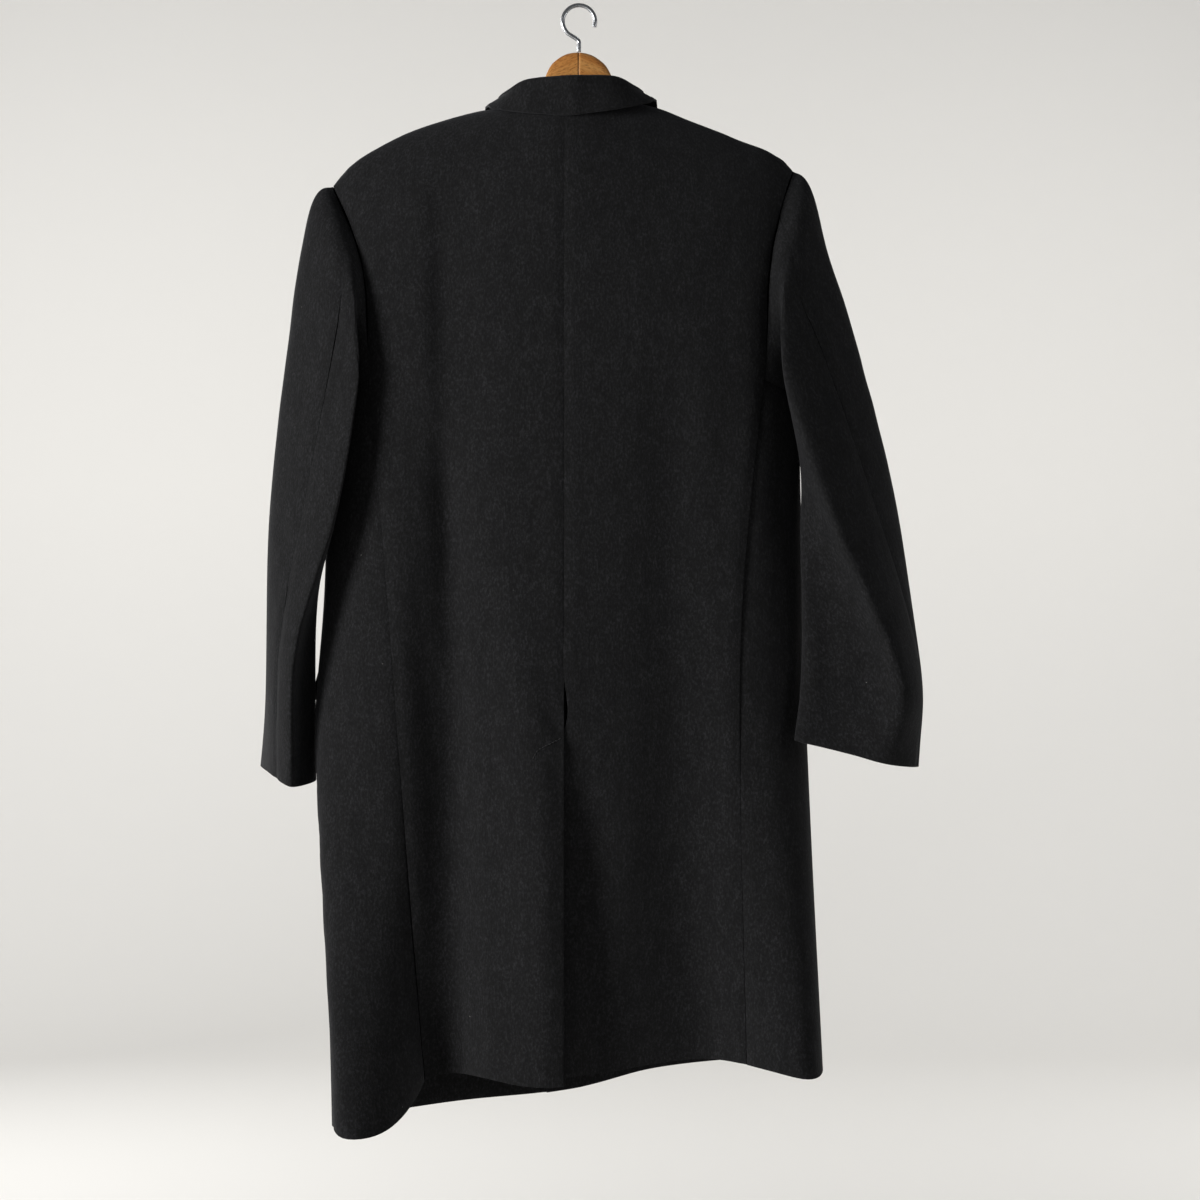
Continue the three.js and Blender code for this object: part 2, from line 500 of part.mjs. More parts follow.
// Collar: one strip that stands up from the neck seam, folds over and falls on the back and shoulders.
const COLLAR_TILT = 0.04;       // the neck is higher at the wearer's right
const COLLAR_SHIFT = -6;        // the fold and edge stay round the hanger's head while the coat has slid
const COLLAR_FOLD = 4.2;        // radius of the fold's outer face
const COLLAR_ROWS = [0, 0.18, 0.35, 0.41, 0.475, 0.54, 0.6, 0.7, 0.8, 0.9, 1];   // four rows round the fold
{
  const rows = COLLAR.map((row) => named(COLLAR_COLUMNS, row));
  const at = (key, s) => smooth(rows.map((row) => row.s), rows.map((row) => row[key]), s);
  const rowsAt = (t) => smooth(COLLAR_ROWS.map((_, i) => i / (COLLAR_ROWS.length - 1)), COLLAR_ROWS, t);
  const collar = (u, t) => {
    const q = rowsAt(t);
    const s = Math.abs(2 * u - 1);
    const sign = u < 0.5 ? 1 : -1;
    const [seamX, foldX] = [sign * at('seamX', s), sign * at('foldX', s)];
    const seam = place({ x: seamX, y: at('seamY', s), drop: at('seamDrop', s) + COLLAR_TILT * seamX });
    const foldDrop = at('foldDrop', s) + COLLAR_TILT * foldX;
    const fold = place({ x: foldX + COLLAR_SHIFT, y: at('foldY', s), drop: foldDrop });
    const edgeX = sign * at('edgeX', s);
    const edgeDrop = at('edgeDrop', s) + COLLAR_TILT * edgeX;
    const edge = place({ x: edgeX + COLLAR_SHIFT, y: at('edgeY', s), drop: edgeDrop });
    const out = edge.clone().sub(seam).setZ(0).normalize();
    const up = new THREE.Vector3(0, 0, 1);
    const centre = fold.clone().addScaledVector(up, -COLLAR_FOLD);
    if (q < 0.35) {
      const foot = seam.clone().addScaledVector(out, -CLOTH);
      return foot.lerp(centre.clone().addScaledVector(out, -COLLAR_FOLD), q / 0.35);
    }
    if (q < 0.6) {
      const angle = Math.PI * (q - 0.35) / 0.25;
      return centre.addScaledVector(out, -COLLAR_FOLD * Math.cos(angle))
        .addScaledVector(up, COLLAR_FOLD * Math.sin(angle));
    }
    return centre.addScaledVector(out, COLLAR_FOLD).lerp(edge, (q - 0.6) / 0.4);
  };
  coat.add(wall('collar', melton, COLLAR_ROWS.length - 1, 26, collar, { facing: -1 }));
}

// Hip pocket flaps, hanging a little away from the coat at their rear ends.
const FLAP = { from: 1.98, to: 2.52, top: 0.36, bottom: 0.438, thick: 3.2, lift: 11 };
for (const [which, side] of Object.entries(SIDES)) {
  const surface = (a, v) => place(skirt(side.sign * a, v));
  const flap = (s, t) => {
    const a = lerp(FLAP.from, FLAP.to, s);
    const v = lerp(FLAP.top, FLAP.bottom, t);
    const lift = FLAP.lift * t * (1 - ease(s / 0.5));
    return surface(a, v).addScaledVector(outward(surface, a, v, side.sign), LIE_GAP + FLAP.thick + lift);
  };
  coat.add(wall(`flap_${which}`, melton, 3, 8, flap, { facing: side.sign, thick: FLAP.thick }));
}

// Front buttons down the centre front, on the left front.
const BUTTON = { radius: 14, thick: 4.2, dish: 3.2, drops: [348, 458, 568] };
BUTTON.drops.forEach((drop, i) => {
  const v = (drop - UNDERARM_DROP) / (CENTRE_FRONT[9] - UNDERARM_DROP);
  const surface = (g, share) => place(skirt(g, share));
  const { radius, thick, dish } = BUTTON;
  const profile = [[0, 0], [radius - 1.5, 0], [radius, 1.4], [radius, dish], [radius - 1.2, thick],
    [radius - 3, thick], [radius - 4.4, dish], [0, dish]].map(([r, h]) => new THREE.Vector2(r, h));
  const button = new THREE.Mesh(new THREE.LatheGeometry(profile, 18), horn);
  button.name = `button_${i + 1}`;
  const out = outward(surface, 3, v, 1);
  button.position.copy(surface(3, v)).addScaledVector(out, LIE_GAP);
  button.quaternion.setFromUnitVectors(new THREE.Vector3(0, 1, 0), out);
  coat.add(button);
});

// ---------------------------------------------------------------- hanger
const WOOD_TOP = -48;           // top of the hanger's head
const HEAD = { radius: 37, half: 7, height: 75 };
const HANGER_TILT = 0.033;      // the hanger hangs with its end at the wearer's left higher
const HANGER_HALF = 216;        // half its length
// The hanger's arms beyond its neck: half thickness, height, and the length over which an end is rounded.
const SHOULDER_HEIGHT = 34;     // height of the wood where an arm leaves the head
const ARM = { from: 92, half: 13, height: 22, end: 24 };
const ARM_SINK = 4;             // the arms' ridge below the cloth of the shoulder seam
const SECTION = 12;             // corners of a section
const shoulderAt = (x) => {
  const side = x > COAT_X ? SIDES.left : SIDES.right;
  return NAPE_Z - shoulderLine(side, Math.abs(x - COAT_X));
};

// A closed solid through rings of points, with flat ends.
function loft(name, material, rings) {
  const n = rings[0].length;
  const index = [];
  for (let i = 0; i < rings.length - 1; i += 1) {
    for (let j = 0; j < n; j += 1) {
      const a = i * n + j;
      const b = i * n + (j + 1) % n;
      index.push(a, b, b + n, a, b + n, a + n);
    }
  }
  const points = rings.flat();
  const mean = (ring) => ring.reduce((sum, p) => sum.add(p), new THREE.Vector3()).divideScalar(n);
  points.push(mean(rings[0]), mean(rings.at(-1)));
  const last = (rings.length - 1) * n;
  for (let j = 0; j < n; j += 1) {
    index.push((j + 1) % n, j, points.length - 2);
    index.push(last + j, last + (j + 1) % n, points.length - 1);
  }
  return solid(name, material, points, index);
}

for (const [which, side] of Object.entries(SIDES)) {
  const sign = side.sign;
  const headAngles = [0, 0.25, 0.5, 0.75, 1, 1.25, 1.42];
  const stations = headAngles.map((angle) => HEAD.radius * Math.sin(angle));
  stations.push(40, 48, 62, 78, ARM.from, 110, 130, 150, 170, 190, 202, 211, HANGER_HALF);
  const neckTop = WOOD_TOP - HEAD.radius - 12;
  const armTop = (x) => shoulderAt(sign * x) - CLOTH - ARM_SINK;
  const top = (x) => {
    const tilted = WOOD_TOP + HANGER_TILT * sign * x;
    if (x < HEAD.radius) return tilted - HEAD.radius + Math.sqrt(HEAD.radius ** 2 - x * x);
    if (x > ARM.from) return armTop(x);
    return lerp(neckTop, armTop(ARM.from), ease((x - HEAD.radius) / (ARM.from - HEAD.radius)));
  };
  const half = (x) => lerp(HEAD.half, ARM.half, ease((x - 70) / 110));
  const armHeight = (x) => lerp(SHOULDER_HEIGHT, ARM.height, ease((x - 80) / 130));
  const height = (x) => (x < HEAD.radius ? top(x) - WOOD_TOP + HEAD.height : armHeight(x));
  const rings = stations.map((x) => {
    const h = height(x) / 2;
    const near = Math.sqrt(1 - Math.max((x - HANGER_HALF + 20) / ARM.end, 0) ** 2);
    return Array.from({ length: SECTION }, (_, k) => {
      const angle = 2 * Math.PI * k / SECTION;
      const round = (value) => Math.sign(value) * Math.abs(value) ** 0.9;
      return new THREE.Vector3(sign * Math.max(x, SEAM_GAP / 2), half(x) * near * round(Math.cos(angle)),
        top(x) - h + h * near * round(Math.sin(angle)) - h * (1 - near));
    });
  });
  coat.add(loft(`hanger_${which}`, wood, rings));
}

// Hook: a steel wire that rises from the head and bends over the rail.
const WIRE = 2.3;
const HOOK_RADIUS = 15;         // inside of the hook
{
  const r = HOOK_RADIUS + WIRE;
  const centre = new THREE.Vector3(0, 0, -HOOK_RADIUS);
  const path = [];
  for (let angle = 200; angle >= -60; angle -= 20) {
    const k = THREE.MathUtils.degToRad(angle);
    path.push(new THREE.Vector3(r * Math.cos(k), 0, r * Math.sin(k)).add(centre));
  }
  path.push(new THREE.Vector3(1, 0, WOOD_TOP + 13), new THREE.Vector3(0, 0, WOOD_TOP + 8),
    new THREE.Vector3(0, 0, WOOD_TOP + LIE_GAP));
  const rings = path.map((p, i) => {
    const along = path[Math.min(i + 1, path.length - 1)].clone().sub(path[Math.max(i - 1, 0)]).normalize();
    const across = new THREE.Vector3(0, 1, 0).cross(along).normalize();
    return Array.from({ length: 10 }, (_, k) => p.clone()
      .addScaledVector(across, WIRE * Math.cos(k * Math.PI / 5))
      .addScaledVector(new THREE.Vector3(0, 1, 0), WIRE * Math.sin(k * Math.PI / 5)));
  });
  coat.add(loft('hook', steel, rings));
}

export default coat;
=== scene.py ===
# %% [markdown]
# # A black melton overcoat on a wooden hanger
#
# The object is a man's knee-length overcoat, hung up and seen from behind. It is sewn from pieces of
# melton, a thick wool cloth that is felted and brushed so that no weave shows. A plain model of it
# comes with the frame: one closed solid for each cut piece, each with walls as thick as the cloth.
# This file dresses that model in the order in which a maker would look at it: camera and light first,
# then the cloth itself, its creases and edges, the sewing, the buttons, and last the hanger.

# %% Load the frame
import json
import math
import random

import bmesh
import bpy
from mathutils import Matrix, Vector, kdtree, noise
from mathutils.bvhtree import BVHTree

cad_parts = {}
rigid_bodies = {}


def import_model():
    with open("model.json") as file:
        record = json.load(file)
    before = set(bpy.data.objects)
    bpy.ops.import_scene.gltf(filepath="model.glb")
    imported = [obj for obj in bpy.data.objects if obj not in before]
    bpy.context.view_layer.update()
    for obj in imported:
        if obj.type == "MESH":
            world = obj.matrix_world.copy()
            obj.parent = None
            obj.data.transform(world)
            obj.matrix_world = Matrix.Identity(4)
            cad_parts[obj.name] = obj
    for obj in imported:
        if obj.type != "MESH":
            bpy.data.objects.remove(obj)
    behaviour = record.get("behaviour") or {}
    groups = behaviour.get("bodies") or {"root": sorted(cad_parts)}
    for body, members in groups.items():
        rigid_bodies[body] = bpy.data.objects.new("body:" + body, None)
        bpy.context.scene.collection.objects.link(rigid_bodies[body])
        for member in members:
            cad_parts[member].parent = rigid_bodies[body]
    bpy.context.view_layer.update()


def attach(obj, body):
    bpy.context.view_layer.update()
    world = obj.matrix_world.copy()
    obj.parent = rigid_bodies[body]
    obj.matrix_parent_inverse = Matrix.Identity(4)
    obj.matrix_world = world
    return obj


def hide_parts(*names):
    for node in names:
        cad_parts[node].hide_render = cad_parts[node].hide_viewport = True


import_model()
scene = bpy.context.scene
MM = 0.001

# %% [markdown]
# ## Camera
#
# The coat is looked at squarely from behind, from about two metres off and from the height of the
# waist, with a short telephoto lens. The lens length follows from how many pixels one metre takes at
# one metre.

# %% Camera
IMAGE = 1200
FOCAL_PIXELS = 2136.0
EYE = Vector((-22.5, 2282.0, -633.0)) * MM

lens = bpy.data.cameras.new("portrait_lens")
lens.sensor_width = 36.0
lens.lens = FOCAL_PIXELS * lens.sensor_width / IMAGE
lens.clip_end = 50.0
camera = bpy.data.objects.new("camera", lens)
camera.location = EYE
camera.rotation_euler = (math.radians(90), 0, math.radians(180))
scene.collection.objects.link(camera)
scene.camera = camera
print("lens:", round(lens.lens, 2), "mm")

# %% [markdown]
# ## Small helpers
#
# Colours are written as sRGB hex codes, as a dye card gives them, and one function turns them to the
# linear values that shaders need. Another adds one shader node with its settings and its links. Object
# coordinates count in metres, so every pattern is multiplied to count in millimetres first.


# %% Colour and node helpers
def colour(code):
    parts = [int(code[i:i + 2], 16) / 255 for i in (1, 3, 5)]
    linear = [c / 12.92 if c <= 0.04045 else ((c + 0.055) / 1.055) ** 2.4 for c in parts]
    return (*linear, 1.0)


PER_MM = 1000.0
MIX_A, MIX_B, MIXED = 6, 7, 2    # the Mix node's colour inputs and its colour output


def add(tree, kind, settings=None, sockets=None):
    node = tree.nodes.new(kind)
    for name, value in (settings or {}).items():
        setattr(node, name, value)
    for name, value in (sockets or {}).items():
        if isinstance(value, bpy.types.NodeSocket):
            tree.links.new(value, node.inputs[name])
        else:
            node.inputs[name].default_value = value
    return node


def new_material(name):
    material = bpy.data.materials.new(name)
    material.use_nodes = True
    material.node_tree.nodes.clear()
    return material, material.node_tree


def finish_material(tree, shader):
    add(tree, "ShaderNodeOutputMaterial", sockets={"Surface": shader.outputs["BSDF"]})


def ramp(tree, value, stops):
    node = add(tree, "ShaderNodeValToRGB", sockets={"Fac": value})
    bar = node.color_ramp.elements
    while len(bar) < len(stops):
        bar.new(0.5)
    for element, (place, code) in zip(bar, stops):
        element.position = place
        element.color = colour(code)
    return node


print("cloth black as linear values:", [round(part, 4) for part in colour("#151516")])

# %% [markdown]
# ## Studio
#
# The floor is a pale sweep that curves up into a wall well behind the coat. The main light is a large
# soft panel at the upper left of the camera; a weak one on the right keeps the dark cloth readable.
# Two more light the wall, and one lights the front of the coat, which the camera sees only from other
# sides.

# %% Floor
FLOOR, FRONT_EDGE, HALF_WIDTH = -1.85, 6, 9
BEND_STARTS, BEND, BEND_STEPS = -3.4, 1.6, 12
WALL_HEIGHT = 6
sweep_material, tree = new_material("matt_white_paper")
paper = add(tree, "ShaderNodeBsdfPrincipled", sockets={
    "Base Color": colour("#e4e2de"), "Roughness": 0.9, "Specular IOR Level": 0.2})
finish_material(tree, paper)

paper_sheet = bmesh.new()
profile = [paper_sheet.verts.new((-HALF_WIDTH, FRONT_EDGE, FLOOR))]
for step in range(BEND_STEPS + 1):
    turn = math.radians(90 * step / BEND_STEPS)
    place = (-HALF_WIDTH, BEND_STARTS - BEND * math.sin(turn), FLOOR + BEND * (1 - math.cos(turn)))
    profile.append(paper_sheet.verts.new(place))
profile.append(paper_sheet.verts.new((-HALF_WIDTH, BEND_STARTS - BEND, FLOOR + WALL_HEIGHT)))
lines = [paper_sheet.edges.new(pair) for pair in zip(profile, profile[1:])]
pulled = bmesh.ops.extrude_edge_only(paper_sheet, edges=lines)["geom"]
bmesh.ops.translate(paper_sheet, vec=(2 * HALF_WIDTH, 0, 0),
                    verts=[v for v in pulled if isinstance(v, bmesh.types.BMVert)])
for face in paper_sheet.faces:
    face.smooth = True
sweep_mesh = bpy.data.meshes.new("studio_sweep")
paper_sheet.to_mesh(sweep_mesh)
paper_sheet.free()
sweep = bpy.data.objects.new("studio_sweep", sweep_mesh)
sweep_mesh.materials.append(sweep_material)
scene.collection.objects.link(sweep)
print("floor strips:", len(sweep_mesh.polygons))

# %% [markdown]
# A photographer's soft box is a lamp behind a large white cloth. An area light gives the same soft
# edge to each shadow. Each one is told where it hangs, what it looks at, how large it is and how
# strong.


# %% Lights
def panel_light(name, place, aim, size, watts):
    light = bpy.data.lights.new(name, "AREA")
    light.shape = "RECTANGLE"
    light.size, light.size_y = size
    light.energy = watts
    lamp = bpy.data.objects.new(name, light)
    lamp.location = place
    lamp.rotation_euler = (Vector(place) - Vector(aim)).to_track_quat("Z", "Y").to_euler()
    scene.collection.objects.link(lamp)


panel_light("window_left", (4.2, 2.45, -0.2), (0, 0, -0.65), (1.6, 2.0), 186)
panel_light("fill_right", (-3.2, 1.6, -0.2), (0, 0, -0.7), (1.4, 1.6), 14)
panel_light("wall_left", (2.4, -1.6, 0.4), (1.2, -5.0, -0.5), (1.6, 2.0), 62)
panel_light("wall_right", (-2.4, -1.6, 0.4), (-1.2, -5.0, -0.5), (1.6, 2.0), 62)
panel_light("front_fill", (1.4, -2.6, 0.4), (0, 0, -0.5), (1.4, 1.4), 34)
world = bpy.data.worlds.new("studio_air")
world.use_nodes = True
air = world.node_tree.nodes["Background"].inputs
air["Color"].default_value = colour("#dfe1e4")
air["Strength"].default_value = 0.13
scene.world = world
scene.view_settings.view_transform = "Standard"

# %% [markdown]
# ## Melton
#
# Melton is woven wool that has been fulled until its fibres felt together, then brushed one way and
# shorn. The eye sees a matt, nearly black surface with a short nap that lies downwards, so its fine
# mottling is longer than it is wide. Wool fibre has an IOR of about 1.55, and the loose ends catch
# light at grazing angles, which the sheen gives. The nap is drawn about twice as coarse as a real one,
# so that it shows from two metres.


# %% Melton material
NAP = (2.1, 2.1, 3.6)        # millimetres: across, through, along
BRUSHED = (11, 11, 24)
LINT_CELLS = 44.0            # cells to a metre, of which one in five holds a fleck of lint


def melton(name, lean_degrees):
    """The nap lies straight down, turned by lean_degrees, as on a sleeve that hangs aslant."""
    material, tree = new_material(name)
    place = add(tree, "ShaderNodeTexCoord").outputs["Object"]
    turned = add(tree, "ShaderNodeMapping", {"vector_type": "TEXTURE"},
                 {"Vector": place, "Rotation": (0, math.radians(lean_degrees), 0)}).outputs["Vector"]
    fine = add(tree, "ShaderNodeMapping", sockets={"Vector": turned, "Scale": [1 / size for size in NAP]})
    nap = add(tree, "ShaderNodeTexNoise", sockets={
        "Vector": fine.outputs["Vector"], "Scale": PER_MM, "Detail": 3.0, "Roughness": 0.65})
    soft = add(tree, "ShaderNodeMapping", sockets={
        "Vector": turned, "Scale": [1 / size for size in BRUSHED]})
    brushed = add(tree, "ShaderNodeTexNoise", sockets={
        "Vector": soft.outputs["Vector"], "Scale": PER_MM, "Detail": 2.0, "Roughness": 0.5})
    shade = ramp(tree, nap.outputs["Fac"], [(0.3, "#090909"), (0.5, "#151516"), (0.7, "#2b2b2d")])
    streak = ramp(tree, brushed.outputs["Fac"], [(0.35, "#cfcfcf"), (0.65, "#ffffff")])
    wool = add(tree, "ShaderNodeMix", {"data_type": "RGBA", "blend_type": "MULTIPLY"}, {
        "Factor": 1.0, MIX_A: shade.outputs["Color"], MIX_B: streak.outputs["Color"]})

    # Lint: a small pale spot in the middle of a few cells.
    specks = add(tree, "ShaderNodeTexVoronoi", {"feature": "F1"}, {"Vector": place, "Scale": LINT_CELLS})
    near = add(tree, "ShaderNodeMath", {"operation": "LESS_THAN"},
               {0: specks.outputs["Distance"], 1: 0.02})
    few = add(tree, "ShaderNodeSeparateColor", sockets={"Color": specks.outputs["Color"]})
    picked = add(tree, "ShaderNodeMath", {"operation": "GREATER_THAN"}, {0: few.outputs["Red"], 1: 0.8})
    lint = add(tree, "ShaderNodeMath", {"operation": "MULTIPLY"},
               {0: near.outputs["Value"], 1: picked.outputs["Value"]})
    final = add(tree, "ShaderNodeMix", {"data_type": "RGBA"}, {
        "Factor": lint.outputs["Value"], MIX_A: wool.outputs[MIXED], MIX_B: colour("#8c8c88")})

    bump = add(tree, "ShaderNodeBump", sockets={
        "Strength": 0.7, "Distance": 0.0008, "Height": nap.outputs["Fac"]})
    dip = add(tree, "ShaderNodeBump", sockets={
        "Strength": 0.35, "Distance": 0.0015, "Height": brushed.outputs["Fac"],
        "Normal": bump.outputs["Normal"]})
    shader = add(tree, "ShaderNodeBsdfPrincipled", sockets={
        "Base Color": final.outputs[MIXED], "Roughness": 0.92, "IOR": 1.55, "Specular IOR Level": 0.25,
        "Sheen Weight": 0.16, "Sheen Roughness": 0.55, "Sheen Tint": colour("#8f9096"),
        "Normal": dip.outputs["Normal"]})
    finish_material(tree, shader)
    return material


# Where two edges are sewn together, the faces in the seam's groove are painted near black: painted shade
# for the light that doesn't reach down into the groove.
painted_seam_shade, tree = new_material("black_melton_painted_seam_shade")
finish_material(tree, add(tree, "ShaderNodeBsdfPrincipled", sockets={
    "Base Color": colour("#060606"), "Roughness": 1.0, "Specular IOR Level": 0.0}))
body_melton = melton("black_melton", 0)
left_sleeve_melton = melton("black_melton_left_sleeve", -6)
right_sleeve_melton = melton("black_melton_right_sleeve", 17)
print("nap:", NAP, "brushed:", BRUSHED, "mm")

# %% [markdown]
# The inside of the coat is lined with viscose satin down to the hem's turn-up. Satin shows its floats
# as a soft gloss, so it is much smoother than the melton, with a faint rib from its yarns.

# %% Lining material
YARN = (0.9, 0.9, 14)        # millimetres: a few yarns side by side, and how far they run
lining, tree = new_material("black_viscose_satin")
place = add(tree, "ShaderNodeTexCoord").outputs["Object"]
yarns = add(tree, "ShaderNodeMapping", sockets={"Vector": place, "Scale": [1 / size for size in YARN]})
rib = add(tree, "ShaderNodeTexNoise", sockets={
    "Vector": yarns.outputs["Vector"], "Scale": PER_MM, "Detail": 1.0})
rib_bump = add(tree, "ShaderNodeBump", sockets={
    "Strength": 0.4, "Distance": 0.0003, "Height": rib.outputs["Fac"]})
satin_shade = ramp(tree, rib.outputs["Fac"], [(0.3, "#0f0f11"), (0.7, "#19191c")])
satin = add(tree, "ShaderNodeBsdfPrincipled", sockets={
    "Base Color": satin_shade.outputs["Color"], "Roughness": 0.38, "IOR": 1.5,
    "Normal": rib_bump.outputs["Normal"]})
finish_material(tree, satin)
print("materials:", [m.name for m in bpy.data.materials])

# %% [markdown]
# ## From cut piece to cloth
#
# Each piece of cloth starts from its own solid. The solid's triangles are joined back to four-sided
# faces, so that a Subdivision Surface can round them. The narrow faces are the rim, where the cloth
# was cut, and a flood over the others finds the two broad sheets, the outside and the inside of the
# cloth. While a piece is made, the material index of a face says which of these it belongs to.


# %% Read a solid and find its two sheets
SHARP = math.radians(52)
SAME_POINT = 0.02 * MM
OUTSIDE, INSIDE, RIM, SEAM, TURNED = range(5)
MIDDLE_X, MIDDLE_Y = 14.5, -8    # millimetres: the upright axis of the trunk
SLICE = 30 * MM


def quads_of(node):
    solid = bmesh.new()
    solid.from_mesh(bpy.data.objects[node].data)
    bmesh.ops.remove_doubles(solid, verts=solid.verts, dist=SAME_POINT)
    bmesh.ops.join_triangles(solid, faces=solid.faces, angle_face_threshold=math.radians(60),
                             angle_shape_threshold=math.radians(180))
    return solid


def outward(node, sheet):
    """How much a sheet faces away from the middle of the tube that its piece is a part of."""
    tube = [Vector((MIDDLE_X, MIDDLE_Y, 0)) * MM]
    if node.startswith("sleeve"):
        halves = [node.rsplit("_", 1)[0] + half for half in ("_top", "_under")]
        tube = [vert.co for half in halves for vert in bpy.data.objects[half].data.vertices]
    total = 0
    for face in sheet:
        centre = face.calc_center_median()
        level = [p for p in tube if len(tube) == 1 or abs(p.z - centre.z) < SLICE]
        middle = sum(level, Vector()) / len(level)
        middle.z = centre.z
        total += (centre - middle).normalized().dot(face.normal) * face.calc_area()
    return total


def mark_sheets(node, solid, thickness):
    """Marks every face as outside, inside or rim. A rim face is no wider than the cloth is thick and
    has a sharp edge. What is left falls into two sheets. A few faces may be cut off from both, and go
    to the sheet that faces the way they do."""
    def in_rim(face):
        width = face.calc_area() / max(side.calc_length() for side in face.edges)
        return width < 1.1 * thickness and any(side.calc_face_angle(0) > SHARP for side in face.edges)

    rim = {face for face in solid.faces if in_rim(face)}
    left = set(solid.faces) - rim
    groups = []
    while left:
        start = left.pop()
        group, front = [start], [start]
        while front:
            face = front.pop()
            for side in face.edges:
                for other in side.link_faces:
                    if other in left and face.normal.angle(other.normal, 0) < SHARP:
                        left.discard(other)
                        group.append(other)
                        front.append(other)
        groups.append(group)
    groups.sort(key=lambda g: -sum(f.calc_area() for f in g))
    if node != "collar" and outward(node, groups[0]) < outward(node, groups[1]):
        groups[0], groups[1] = groups[1], groups[0]
    for group in groups[2:]:
        if len(group) > 2:
            groups[0 if outward(node, group) > 0 else 1].extend(group)
        else:
            rim.update(group)
    for sheet, faces in ((OUTSIDE, groups[0]), (INSIDE, groups[1]), (RIM, rim)):
        for face in faces:
            face.material_index = sheet


print("rim edges are sharper than", round(math.degrees(SHARP)), "degrees")

# %% [markdown]
# A Subdivision Surface rounds a coarse mesh, but it shrinks inside its control points. The coat has to
# keep its measures, so the points are moved out, pass by pass, until the smooth surface runs through
# the places where they were. Edges with a crease value stay where they are, which keeps each seam
# line.


# %% Round a solid without shrinking it
ROUNDING_PASSES = 5
APPROACH = 0.9    # the share of each miss that one pass makes good


def rounded(coarse, name, levels):
    """The piece after its Subdivision Surface, as a new bmesh."""
    mesh = bpy.data.meshes.new(name)
    coarse.to_mesh(mesh)
    coarse.free()
    wanted = [vert.co.copy() for vert in mesh.vertices]
    piece = bpy.data.objects.new(name, mesh)
    scene.collection.objects.link(piece)
    subdivision = piece.modifiers.new("rounding", "SUBSURF")
    subdivision.levels = subdivision.render_levels = 1
    subdivision.boundary_smooth = "PRESERVE_CORNERS"
    for _ in range(ROUNDING_PASSES):
        graph = bpy.context.evaluated_depsgraph_get()
        smooth = piece.evaluated_get(graph).to_mesh()
        error = 0
        for place, vert in zip(wanted, mesh.vertices):
            miss = place - smooth.vertices[vert.index].co
            vert.co += miss * APPROACH
            error = max(error, miss.length / MM)
        mesh.update()
        piece.data.update_tag()
    subdivision.levels = subdivision.render_levels = levels
    graph = bpy.context.evaluated_depsgraph_get()
    fine = bmesh.new()
    fine.from_mesh(piece.evaluated_get(graph).to_mesh())
    bpy.data.objects.remove(piece)
    bpy.data.meshes.remove(mesh)
    print(name, "misses its points by at most", round(error, 2), "mm")
    return fine
